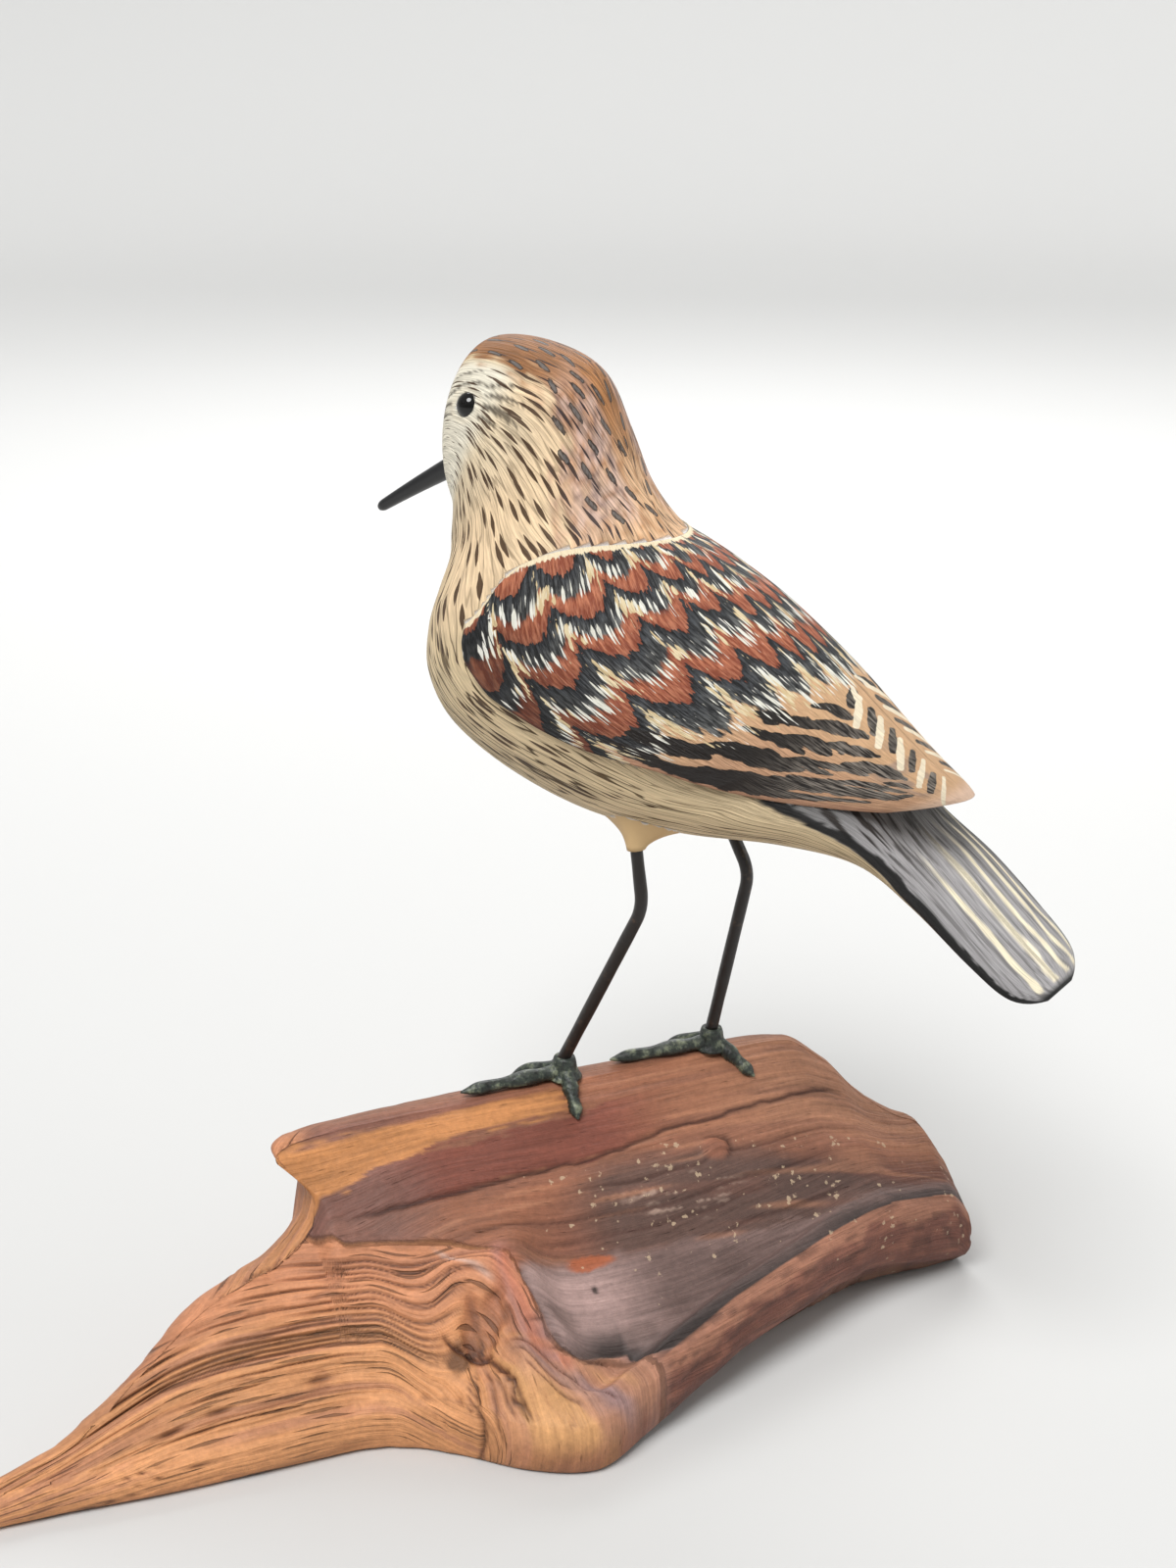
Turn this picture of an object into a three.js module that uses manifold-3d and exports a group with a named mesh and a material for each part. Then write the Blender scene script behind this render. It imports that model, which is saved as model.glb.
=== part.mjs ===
import * as THREE from 'three';
import { mergeVertices } from 'three/addons/utils/BufferGeometryUtils.js';
import Module from 'manifold-3d';

// A small shorebird decoy on two wire legs, standing on the ridge of a piece of driftwood.
// The bird faces across the ridge, the driftwood lies along X, and the table is z = 0.

// Driving dimensions, in millimetres and degrees
const birdLength = 182;
const birdHeading = 122;
const headTurn = 3;
const bellyClearance = 63;
const wingStep = 1.2;
const wingFrontStep = 0.4;
const bladeThickness = 5;
const eyeOpening = 5.4;
const eyeHidden = 0.6;
const billLength = 37;
const billRootDiameter = 6.4;
const billTipDiameter = 2.6;
const billSocketDepth = 4;
const billArch = 0.8;
const wireDiameter = 3.1;
const wireSocketDepth = 8;
const footSocketDepth = 4;
const kneeHeight = 49;
const kneeBend = 4;
const thighEndDiameter = 7.8;
const thighLength = 12;
const thighWaist = 6;
const thighTopDiameter = 16;
const thighLean = 16;
const leftFootAhead = 11.5;
const rightFootBehind = 9.5;
const stanceWidth = 33;
const toeLength = 27;
const innerToeLength = 23;
const hindToeLength = 14;
const toeDiameter = 4.2;
const ankleDiameter = 6.4;
const ankleHeight = 5;
const woodLength = 267;
const woodDepth = 90;
const ridgeHeight = 60;
const lipThickness = 3.5;
const scoopDepth = 5;
const limbHeight = 2.2;
const rootRise = 3;
const pitDepth = 6;
const fluteHeight = 0.7;
const foldHeight = 1.4;
const knotHeight = 1.6;
const cornerOverhang = 12;
const shoulderBlend = 12;
const fitGap = 0.3;
const cutterReach = 6;
const weldDistance = 0.02;

const radians = THREE.MathUtils.degToRad;
const vector = (x, y, z) => new THREE.Vector3(x, y, z);
const soft = THREE.MathUtils.smoothstep;

const woodColor = 0x8a5a3c;
const carvingColor = 0xb98f6a;
const billColor = 0x1c1c1e;
const glassColor = 0x0b0b0d;
const wireColor = 0x1f1a16;
const footColor = 0x3f4a44;

// Booleans on closed meshes
const wasm = await Module();
wasm.setup();

function solidOf(geometry) {
  const bare = new THREE.BufferGeometry();
  bare.setAttribute('position', geometry.attributes.position);
  bare.setIndex(geometry.index);
  const merged = mergeVertices(bare, 1e-4);
  return new wasm.Manifold(new wasm.Mesh({
    numProp: 3,
    vertProperties: new Float32Array(merged.attributes.position.array),
    triVerts: new Uint32Array(merged.index.array),
  }));
}

// A cut leaves slivers, so points closer than weldDistance become one and flat faces are dropped
function geometryOf(solid) {
  const mesh = solid.getMesh();
  const cut = new THREE.BufferGeometry();
  cut.setAttribute('position', new THREE.BufferAttribute(new Float32Array(mesh.vertProperties), 3));
  cut.setIndex(new THREE.BufferAttribute(new Uint32Array(mesh.triVerts), 1));
  const geometry = mergeVertices(cut, weldDistance);
  const corners = geometry.index.array;
  const kept = [];
  for (let i = 0; i < corners.length; i += 3) {
    const [a, b, c] = corners.slice(i, i + 3);
    if (a !== b && b !== c && c !== a) kept.push(a, b, c);
  }
  geometry.setIndex(kept);
  geometry.computeVertexNormals();
  return geometry;
}

// A smooth curve through rows of numbers, read at a fractional row number
function smoothRow(rows, at) {
  const last = rows.length - 1;
  const u = Math.min(Math.max(at, 0), last);
  const i = Math.min(Math.floor(u), last - 1);
  const t = u - i;
  return rows[i].map((from, k) => {
    const to = rows[i + 1][k];
    const before = i > 0 ? rows[i - 1][k] : 2 * from - to;
    const after = i < last - 1 ? rows[i + 2][k] : 2 * to - from;
    const leave = (to - before) / 2;
    const arrive = (after - from) / 2;
    return from + t * t * (3 - 2 * t) * (to - from)
      + t * (1 - t) * ((1 - t) * leave - t * arrive);
  });
}

// A closed skin over rings of points, each ring running the same way round, with both ends fanned shut
function skinOf(rings, startPoint, endPoint) {
  const count = rings[0].length;
  const points = [startPoint, ...rings.flat(), endPoint];
  const end = points.length - 1;
  const at = (ring, k) => 1 + ring * count + (k % count);
  const triangles = [];
  for (let k = 0; k < count; k += 1) {
    triangles.push(0, at(0, k + 1), at(0, k));
    triangles.push(end, at(rings.length - 1, k), at(rings.length - 1, k + 1));
  }
  for (let ring = 0; ring + 1 < rings.length; ring += 1) {
    for (let k = 0; k < count; k += 1) {
      triangles.push(at(ring, k), at(ring, k + 1), at(ring + 1, k + 1));
      triangles.push(at(ring, k), at(ring + 1, k + 1), at(ring + 1, k));
    }
  }
  const geometry = new THREE.BufferGeometry().setFromPoints(points);
  geometry.setIndex(triangles);
  geometry.computeVertexNormals();
  return geometry;
}

// A closed shell between two grids of points that match, outer side first
function shellOf(outer, inner) {
  const rows = outer.length;
  const columns = outer[0].length;
  const points = [...outer.flat(), ...inner.flat()];
  const out = (i, k) => i * columns + k;
  const back = (i, k) => rows * columns + i * columns + k;
  const triangles = [];
  const quad = (a, b, c, d) => triangles.push(a, c, b, a, d, c);
  for (let i = 0; i + 1 < rows; i += 1) {
    for (let k = 0; k + 1 < columns; k += 1) {
      quad(out(i, k), out(i, k + 1), out(i + 1, k + 1), out(i + 1, k));
      quad(back(i, k), back(i + 1, k), back(i + 1, k + 1), back(i, k + 1));
    }
    quad(out(i, 0), out(i + 1, 0), back(i + 1, 0), back(i, 0));
    quad(out(i + 1, columns - 1), out(i, columns - 1), back(i, columns - 1), back(i + 1, columns - 1));
  }
  for (let k = 0; k + 1 < columns; k += 1) {
    quad(out(0, k + 1), out(0, k), back(0, k), back(0, k + 1));
    quad(out(rows - 1, k), out(rows - 1, k + 1), back(rows - 1, k + 1), back(rows - 1, k));
  }
  const geometry = new THREE.BufferGeometry().setFromPoints(points);
  geometry.setIndex(triangles);
  geometry.computeVertexNormals();
  return geometry;
}

function centreOf(points) {
  return points.reduce((sum, point) => sum.add(point), vector(0, 0, 0)).divideScalar(points.length);
}

// A round rod along a path, its radius given along the path
function rodAlong(path, radiusAt, steps, sides) {
  const frames = path.computeFrenetFrames(steps, false);
  const rings = [];
  for (let i = 0; i <= steps; i += 1) {
    const centre = path.getPointAt(i / steps);
    const radius = radiusAt(i / steps);
    const ring = [];
    for (let k = 0; k < sides; k += 1) {
      const angle = 2 * Math.PI * k / sides;
      ring.push(centre.clone()
        .addScaledVector(frames.normals[i], radius * Math.cos(angle))
        .addScaledVector(frames.binormals[i], radius * Math.sin(angle)));
    }
    rings.push(ring);
  }
  return skinOf(rings, centreOf(rings[0]), centreOf(rings[steps]));
}

// Carving rows, each a slanted section from the back line to the belly line, as hundredths of the
// bird's length: back along, back up, belly along, belly up, half width, then three plain numbers:
// how far down the section is widest, and how full its upper and lower curves are.
const unit = birdLength / 100;
const torsoRows = [
  [25.5, 44.0, 25.5, 41.5, 1.6, 0.5, 2, 2],
  [25.7, 49.5, 25.7, 38.5, 4.8, 0.5, 2, 2],
  [25.5, 54.5, 26.0, 36.5, 7.0, 0.5, 2, 2],
  [23.4, 59.2, 25.8, 35.5, 8.6, 0.45, 2, 2],
  [15.5, 59.5, 26.5, 34.5, 9.6, 0.45, 2, 2],
  [8.0, 56.8, 27.5, 32.5, 10.2, 0.5, 2, 2],
  [4.0, 50.0, 28.0, 30.0, 10.7, 0.5, 2, 2],
  [1.0, 43.5, 29.5, 26.5, 12.0, 0.5, 2, 2],
  [-3.5, 38.5, 31.0, 21.5, 14.0, 0.5, 2, 2],
  [-10.0, 35.2, 31.0, 15.5, 15.6, 0.5, 2, 2],
  [-16.5, 31.8, 27.0, 9.5, 16.4, 0.5, 2, 2],
  [-23.0, 27.5, 17.5, 4.5, 16.2, 0.5, 2, 2],
  [-29.0, 23.0, 6.0, 3.0, 15.0, 0.5, 2, 2],
  [-34.5, 18.7, -6.5, 4.0, 12.6, 0.55, 2, 2],
  [-39.0, 15.4, -21.0, 6.0, 9.4, 0.6, 2, 2],
  [-43.0, 12.9, -34.0, 8.5, 5.6, 0.6, 2, 2],
  [-45.0, 11.6, -44.0, 10.8, 1.4, 0.5, 2, 2],
];
const tailRows = [
  [-29.0, 19.5, 5.5, 1.4, 14.2, 0.5, 2, 2],
  [-33.0, 14.5, -7.5, 1.2, 12.4, 0.45, 2, 2],
  [-35.5, 10.5, -21.0, 2.2, 10.6, 0.3, 2.2, 1.8],
  [-39.0, 6.8, -32.5, 2.4, 9.6, 0.25, 2.6, 1.8],
  [-44.5, 2.5, -41.0, -0.2, 10.0, 0.3, 3, 2],
  [-51.0, -3.2, -49.0, -5.2, 9.9, 0.3, 3, 2],
  [-55.4, -6.7, -54.0, -8.3, 8.8, 0.4, 3, 2],
  [-57.9, -8.7, -57.2, -9.6, 4.9, 0.5, 3, 2],
];
const sharedRows = 12;
const bodyRows = [...torsoRows.slice(0, sharedRows), ...tailRows];
const wingTipRow = torsoRows.length - 1;

// A point of a carving row's section, from angle 0 on the back line to 180 degrees on the belly line
function sectionPoint(rows, at, angle) {
  const [backAlong, backUp, bellyAlong, bellyUp, halfWidth, widest, upper, lower] = smoothRow(rows, at);
  const cosine = Math.cos(angle);
  const sine = Math.sin(angle);
  const power = 2 / (cosine >= 0 ? upper : lower);
  const c = Math.abs(cosine) ** power;
  const down = cosine >= 0 ? widest * (1 - c) : widest + (1 - widest) * c;
  const point = vector(
    THREE.MathUtils.lerp(backAlong, bellyAlong, down) * unit,
    Math.sign(sine) * Math.abs(sine) ** power * halfWidth * unit,
    bellyClearance + THREE.MathUtils.lerp(backUp, bellyUp, down) * unit,
  );
  return turnHead(point, at);
}

// The head looks a little to the bird's right, and the turn fades out down the neck
const neckPivot = 11;
const turnStartRow = 3;
const turnEndRow = 8.5;

function turnHead(point, at) {
  const share = 1 - THREE.MathUtils.smoothstep(at, turnStartRow, turnEndRow);
  const pivot = vector(neckPivot * unit, 0, 0);
  return point.sub(pivot).applyAxisAngle(vector(0, 0, 1), -radians(headTurn) * share).add(pivot);
}

// Torso, neck and head, running out into the tail
function bodySolid() {
  const stations = 36;
  const around = 22;
  const rings = [];
  for (let i = 0; i <= stations; i += 1) {
    const ring = [];
    for (let k = 0; k < around; k += 1) {
      ring.push(sectionPoint(bodyRows, (bodyRows.length - 1) * i / stations, 2 * Math.PI * k / around));
    }
    rings.push(ring);
  }
  return solidOf(skinOf(rings, centreOf(rings[0]), centreOf(rings[stations])));
}

// Folded wings: one raised field over the back, from a line round the neck to the wing tips.
// wingEdges gives the angle of its lower edge at each torso row, in degrees from the back line.
const wingFrontRow = 8.2;
const shoulderReach = 0.66;
const shoulderDrop = 0.75;
const wingEdges = [
  [7.5, 96], [8.3, 104], [9, 107], [9.8, 105], [11, 96], [12, 88], [13, 82], [14, 77], [16, 74],
];

function wingEdge(at) {
  const next = Math.max(1, wingEdges.findIndex(([row]) => row >= at));
  const [fromRow, fromAngle] = wingEdges[next - 1];
  const [toRow, toAngle] = wingEdges[next];
  return radians(THREE.MathUtils.mapLinear(at, fromRow, toRow, fromAngle, toAngle));
}

function wingPoint(along, across) {
  const side = Math.abs(across);
  const front = wingFrontRow - shoulderReach * soft(side, 0, 0.7) + shoulderDrop * soft(side, 0.7, 1) ** 2;
  const at = THREE.MathUtils.lerp(front, wingTipRow, along);
  const angle = -across * wingEdge(at);
  const skin = sectionPoint(torsoRows, at, angle);
  const core = sectionPoint(torsoRows, at, 0).lerp(sectionPoint(torsoRows, at, Math.PI), 0.5);
  return { skin, inward: core.sub(skin) };
}

function wingSolid() {
  const lengthwise = 20;
  const crosswise = 16;
  const upper = [];
  const lower = [];
  for (let i = 0; i <= lengthwise; i += 1) {
    upper.push([]);
    lower.push([]);
    for (let k = 0; k <= crosswise; k += 1) {
      const { skin, inward } = wingPoint(i / lengthwise, 2 * k / crosswise - 1);
      const reach = inward.length();
      const step = i > 0 ? wingStep : wingFrontStep;
      upper[i].push(skin.clone().addScaledVector(inward, -step / reach));
      lower[i].push(skin.clone().addScaledVector(inward, Math.min(bladeThickness / reach, 0.6)));
    }
  }
  return solidOf(shellOf(upper, lower));
}

// The bird's own frame: it stands on the ridge, looking along its own X, with its left along Y
const birdAlong = 40;
const birdAcross = 1;
const bird = new THREE.Group();
bird.position.set(birdAlong, birdAcross, ridgeHeight);
bird.rotation.z = radians(birdHeading);
bird.updateMatrix();

// Legs, in the bird's frame. Hips and knees are in hundredths of its length, along and across.
// Each wire leaves a flared thigh, bends at the knee and runs down into its foot.
const legs = {
  left: { hip: [-4.8, 9.3], knee: [-5.8, 9.3], foot: [leftFootAhead, stanceWidth / 2] },
  right: { hip: [-6.6, -8.4], knee: [-10.8, -8.4], foot: [-rightFootBehind, -stanceWidth / 2] },
};

// The top of an ankle, in the wood's frame
function anklePoint({ foot }) {
  const ankle = vector(foot[0], foot[1], 0).applyMatrix4(bird.matrix);
  return ankle.setZ(woodHeight(ankle.x, ankle.y) + fitGap + ankleHeight);
}

function legPath(leg) {
  const hip = vector(leg.hip[0] * unit, leg.hip[1] * unit, bellyClearance);
  const knee = vector(leg.knee[0] * unit, leg.knee[1] * unit, kneeHeight);
  const ankle = anklePoint(leg).applyMatrix4(bird.matrix.clone().invert());
  const rise = hip.clone().sub(knee).normalize();
  const fall = ankle.clone().sub(knee).normalize();
  const bendStart = knee.clone().addScaledVector(rise, kneeBend);
  const bendEnd = knee.clone().addScaledVector(fall, kneeBend);
  const path = new THREE.CurvePath();
  path.add(new THREE.LineCurve3(hip.clone().addScaledVector(rise, wireSocketDepth), bendStart));
  path.add(new THREE.QuadraticBezierCurve3(bendStart, knee, bendEnd));
  path.add(new THREE.LineCurve3(bendEnd, ankle.addScaledVector(fall, footSocketDepth)));
  return { path, hip, rise, fall };
}

function wireGeometry(leg) {
  return rodAlong(legPath(leg).path, () => wireDiameter / 2, 12, 9);
}

// Shrinks a rod's radius over the last stretch of its length, to a rounded end
function roundedEnd(share, from) {
  const over = Math.max(share - from, 0) / (1 - from);
  return Math.sqrt(1 - 0.95 * over ** 2);
}

// A straight round rod from a point along a direction, its radius given along its length
function straightRod(from, direction, length, radiusAt, steps, sideCount) {
  const path = new THREE.LineCurve3(from, from.clone().addScaledVector(direction, length));
  return rodAlong(path, radiusAt, steps, sideCount);
}

function thighSolid(leg) {
  const { hip, rise } = legPath(leg);
  const inward = vector(0, -Math.sign(hip.y) * Math.tan(radians(thighLean)), 0);
  const flare = (share) => THREE.MathUtils.lerp(
    thighEndDiameter, thighTopDiameter, Math.min(share * thighLength / thighWaist, 1) ** 2,
  ) / 2;
  return solidOf(straightRod(hip, rise.add(inward).normalize(), thighLength, flare, 6, 16));
}

function wireSocketSolid(leg) {
  const { hip, rise } = legPath(leg);
  const start = hip.clone().addScaledVector(rise, -cutterReach);
  const length = cutterReach + wireSocketDepth + fitGap;
  return solidOf(straightRod(start, rise, length, () => wireDiameter / 2 + fitGap, 1, 12));
}

// Bill: a drooping spike let into the face
const billPlace = [25.7, 44.4];
const billDroop = 29;

function billPath() {
  const root = vector(billPlace[0] * unit, 0, bellyClearance + billPlace[1] * unit);
  const along = vector(Math.cos(radians(billDroop)), 0, -Math.sin(radians(billDroop)));
  const ends = [-billSocketDepth, billLength].map((reach) => root.clone().addScaledVector(along, reach));
  const middle = ends[0].clone().lerp(ends[1], 0.55).add(vector(0, 0, billArch));
  const turned = [ends[0], middle, ends[1]].map((point) => turnHead(point, 0));
  return new THREE.QuadraticBezierCurve3(...turned);
}

function billRadius(share) {
  const taper = THREE.MathUtils.lerp(billRootDiameter, billTipDiameter, share ** 0.8) / 2;
  return taper * roundedEnd(share, 0.94);
}

function billGeometry() {
  return rodAlong(billPath(), billRadius, 12, 10);
}

function billSocketSolid() {
  const path = billPath();
  const direction = path.getTangent(0);
  const start = path.getPoint(0).addScaledVector(direction, -fitGap);
  const radius = billRootDiameter / 2 + fitGap;
  return solidOf(straightRod(start, direction, billSocketDepth + fitGap + cutterReach, () => radius, 1, 16));
}

// Eyes: glass balls let into the sides of the face, with a little more than their front showing
const eyeRow = 3.65;
const eyeAngle = 71;

function eyePlace(side) {
  const angle = side * radians(eyeAngle);
  const point = sectionPoint(torsoRows, eyeRow, angle);
  const alongRows = sectionPoint(torsoRows, eyeRow + 0.1, angle).sub(point);
  const round = sectionPoint(torsoRows, eyeRow, angle + side * 0.05).sub(point);
  const outward = alongRows.cross(round).normalize();
  if (outward.y * side < 0) outward.negate();
  return { point, outward };
}

function eyeBall(side, extra) {
  const { point, outward } = eyePlace(side);
  const radius = eyeOpening / 2 + eyeHidden;
  const depth = Math.sqrt(radius ** 2 - (eyeOpening / 2) ** 2);
  const ball = new THREE.SphereGeometry(radius + extra, 10, 7);
  const centre = point.addScaledVector(outward, -depth);
  return ball.translate(centre.x, centre.y, centre.z);
}

function carvingGeometry() {
  let carving = bodySolid().add(wingSolid());
  for (const leg of Object.values(legs)) {
    carving = carving.add(thighSolid(leg)).subtract(wireSocketSolid(leg));
  }
  carving = carving.subtract(billSocketSolid());
  for (const side of [1, -1]) {
    carving = carving.subtract(solidOf(eyeBall(side, fitGap)));
  }
  return geometryOf(carving);
}

// Driftwood rows: along, front edge, its underside, top of the front roll, ridge line across, ridge
// height, back edge. Along is in hundredths of the length, across in hundredths of the depth from
// the ridge line, and up in hundredths of the ridge height.
const woodRows = [
  [0, -35, 0, 5, -33.5, 7, -31],
  [4, -38, 0, 5, -34, 12, -27],
  [9.5, -39, 0, 5, -33.5, 15.5, -24],
  [14, -40, 0, 6, -32.5, 20, -20],
  [16.5, -41, 0, 7, -31, 26, -17],
  [21.5, -42.5, 0, 8, -25, 37, -9],
  [27, -43.5, 0, 9, -19, 50, 1],
  [31, -44, 0, 10, -16.5, 56, 7],
  [34.5, -44.5, 0, 11, -14, 60, 12],
  [37.8, -45, 0, 12, -11, 70, 18],
  [39.2, -46, 0, 13, -3.5, 92, 22],
  [41, -48, 0, 14, -0.5, 98, 25],
  [44.5, -55, 0, 17, 0, 99.5, 27],
  [50, -70, 0, 19, 0, 100, 28],
  [55, -76.5, 0, 20, 0, 100, 28],
  [60, -71, 2, 23, 0, 100, 28],
  [65, -65.5, 7, 28, 0, 100, 27],
  [71, -59, 14, 34, 0, 100, 26],
  [79, -50.5, 17, 37, 0, 100, 25],
  [86, -43, 18, 38, 0, 98, 21],
  [90, -40, 16, 39, -2, 85, 17],
  [92.5, -38.5, 13, 38, -5, 72, 12],
  [95.5, -37, 9, 36, -9, 62, 7],
  [98, -35.5, 7, 32, -12, 57, 2],
  [99.4, -34.5, 6, 25, -16, 45, -6],
  [100, -32, 7, 17, -22, 28, -14],
];
const woodAhead = 55.8;
const backFullness = 3.2;
const backDrop = 0.85;
const archReach = 0.4;

function woodProfile(x) {
  const along = THREE.MathUtils.clamp(x / woodLength * 100 + woodAhead, 0, 100);
  const next = Math.max(1, woodRows.findIndex(([row]) => row >= along));
  const share = THREE.MathUtils.inverseLerp(woodRows[next - 1][0], woodRows[next][0], along);
  const [, front, under, lip, ridge, crest, back] = smoothRow(woodRows, next - 1 + share);
  const across = woodDepth / 100;
  const up = ridgeHeight / 100;
  return {
    front: front * across, under: Math.max(under, 0) * up, lip: lip * up,
    ridge: ridge * across, crest: crest * up, back: back * across,
  };
}

// Soft round bump of height 1 at the centre of an ellipse, gone at its rim
function bump(x, y, radiusX, radiusY) {
  const far = (x / radiusX) ** 2 + (y / radiusY) ** 2;
  return far < 1 ? (1 - far) ** 2 : 0;
}

// What the weather and the grain have made of the face below the ridge. Along and across are in the
// rows' hundredths, and fromFront is the distance behind the front edge.
function woodRelief(along, across, fromFront) {
  // A scoop behind the front lip, washed out deepest beside the knot
  const behindLip = soft(fromFront, 1.5 * lipThickness, 3.2 * lipThickness);
  const scoop = behindLip * soft(along, 53, 57) * (1 - soft(along, 82, 98)) * (1 - soft(across, -42, -22));
  // The lip turns up the face on the left of the scoop
  const limb = 53.2 + 2.2 * soft(-across, 44, 62);
  const limbRise = Math.exp(-(((along - limb) / 1.7) ** 2)) * soft(-across, 28, 38);
  // The root that runs out into the tongue stands proud of the face, up to a curved line
  const rootLine = -13 - 17 * soft(along, 38, 51);
  const root = soft(rootLine - across, 0, 7) * soft(along, 23, 33) * (1 - soft(along, 50.5, 53.5));
  // The grain curls into a pit beside the knot, and runs in flutes along the root
  const pit = bump(along - 48.4, across + 48, 4.6, 13);
  const flutes = Math.sin(across + 0.4 * along) * soft(-along, -47, -41);
  // Folds fan out below the knot, and a small knot stands on the face
  const foldAngle = Math.atan2(2.7 * (along - 49.8), -0.9 * (across + 44));
  const fan = Math.sin(7 * foldAngle) * bump(along - 54, across + 62, 7, 17);
  const knot = bump(along - 74.5, across + 22, 2.2, 4.4);
  return rootRise * root + limbHeight * limbRise + fluteHeight * flutes + foldHeight * fan
    + knotHeight * knot - scoopDepth * scoop - pitDepth * pit;
}

function woodHeight(x, y) {
  const { front, lip, ridge, crest, back } = woodProfile(x);
  if (y >= ridge) {
    const share = THREE.MathUtils.clamp((y - ridge) / (back - ridge), 0, 1);
    return crest * (1 - backDrop * share ** backFullness);
  }
  const share = THREE.MathUtils.clamp((y - front) / (ridge - front), 0, 1);
  const fade = soft(ridge - y, 0, shoulderBlend) * soft(y - front, lipThickness, 2.6 * lipThickness);
  const relief = woodRelief(x / woodLength * 100 + woodAhead, y / woodDepth * 100, y - front);
  return lip + (crest - lip) * share + relief * fade;
}

function woodUnder(x, y) {
  const { front, under, back } = woodProfile(x);
  const share = (y - front) / ((back - front) * archReach);
  return under * Math.max(0, 1 - share) ** 2;
}

// The top left corner of the broken end hangs out over a notch
function overhang(point) {
  const along = point.x / woodLength * 100 + woodAhead;
  const lean = soft(point.z, 0.75 * ridgeHeight, ridgeHeight) * bump(along - 38.6, 0, 8, 1);
  point.x -= cornerOverhang * lean;
  return point;
}

// One ring of the wood: round the front roll, up the face, over the ridge, down the back, and home
const rollSteps = 4;
const faceSteps = 16;
const backSteps = 6;
const underSteps = 3;

function woodRing(x) {
  const { front, under, lip, ridge, back } = woodProfile(x);
  const ring = [];
  for (let k = 0; k < rollSteps; k += 1) {
    const angle = radians(THREE.MathUtils.lerp(-75, 70, k / rollSteps));
    const y = front + lipThickness * (1 - Math.cos(angle));
    ring.push(vector(x, y, (under + lip) / 2 + (lip - under) / 2 * Math.sin(angle)));
  }
  for (let k = 0; k <= faceSteps; k += 1) {
    const y = THREE.MathUtils.lerp(front + lipThickness, ridge, k / faceSteps);
    ring.push(overhang(vector(x, y, woodHeight(x, y))));
  }
  for (let k = 1; k <= backSteps; k += 1) {
    const y = THREE.MathUtils.lerp(ridge, back, Math.sin(Math.PI / 2 * k / backSteps));
    ring.push(overhang(vector(x, y, woodHeight(x, y))));
  }
  for (let k = 0; k <= underSteps; k += 1) {
    const share = (1 - k / underSteps) ** 2;
    const y = THREE.MathUtils.lerp(front + 2 * lipThickness, back, share);
    ring.push(vector(x, y, woodUnder(x, y)));
  }
  return ring;
}

function woodGeometry() {
  const stations = 52;
  const rings = [];
  for (let i = 0; i <= stations; i += 1) {
    const share = i / stations;
    const along = share + 0.06 * Math.sin(2 * Math.PI * share);
    rings.push(woodRing((along - woodAhead / 100) * woodLength));
  }
  return skinOf(rings.reverse(), centreOf(rings[0]), centreOf(rings[stations]));
}

// Feet: four toes from an ankle, laid over the wood. Angles are from the bird's heading.
const toes = {
  left: [[57, toeLength], [8, toeLength], [-42, innerToeLength], [141, hindToeLength]],
  right: [[53, toeLength], [4, toeLength], [-46, innerToeLength], [187, hindToeLength]],
};

function toeGeometry(ankle, angle, length) {
  const heading = radians(birdHeading + angle);
  const points = [];
  const steps = 6;
  let { x, y } = ankle;
  for (let i = 0; i <= steps; i += 1) {
    const lift = 0.8 * toeDiameter / 2 * (1 - 0.4 * i / steps);
    points.push(vector(x, y, woodHeight(x, y) + lift));
    const ahead = woodHeight(x + Math.cos(heading), y + Math.sin(heading)) - woodHeight(x, y);
    const run = length / steps / Math.hypot(1, ahead);
    x += run * Math.cos(heading);
    y += run * Math.sin(heading);
  }
  const radiusAt = (share) => toeDiameter / 2 * (1 - 0.4 * share)
    * (1 + 0.12 * Math.cos(5 * Math.PI * share)) * roundedEnd(share, 0.85);
  return rodAlong(new THREE.CatmullRomCurve3(points), radiusAt, 7, 5);
}

function footGeometry(side, woodSolid) {
  const ankle = anklePoint(legs[side]);
  const base = ankle.clone().setZ(ankle.z - ankleHeight - fitGap);
  const ankleRadius = (share) => ankleDiameter / 2 * (1.25 - 0.35 * share);
  let foot = solidOf(straightRod(base, vector(0, 0, 1), ankleHeight + fitGap, ankleRadius, 2, 10));
  for (const [angle, length] of toes[side]) {
    foot = foot.add(solidOf(toeGeometry(ankle, angle, length)));
  }
  for (const shift of [[0, 0, fitGap], [0, fitGap, 0], [0, -fitGap, 0]]) {
    foot = foot.subtract(woodSolid.translate(shift));
  }
  const up = legPath(legs[side]).fall.transformDirection(bird.matrix).negate();
  const start = ankle.clone().addScaledVector(up, -footSocketDepth - fitGap);
  const length = footSocketDepth + fitGap + cutterReach;
  const socket = straightRod(start, up, length, () => wireDiameter / 2 + fitGap, 1, 10);
  return geometryOf(foot.subtract(solidOf(socket)));
}

// Assembly: the wood and feet in the wood's frame, and the rest of the bird in its own
const part = new THREE.Group();

function addMesh(group, name, geometry, color, roughness, metalness = 0) {
  const mesh = new THREE.Mesh(geometry, new THREE.MeshStandardMaterial({ color, roughness, metalness }));
  mesh.name = name;
  group.add(mesh);
}

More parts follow.
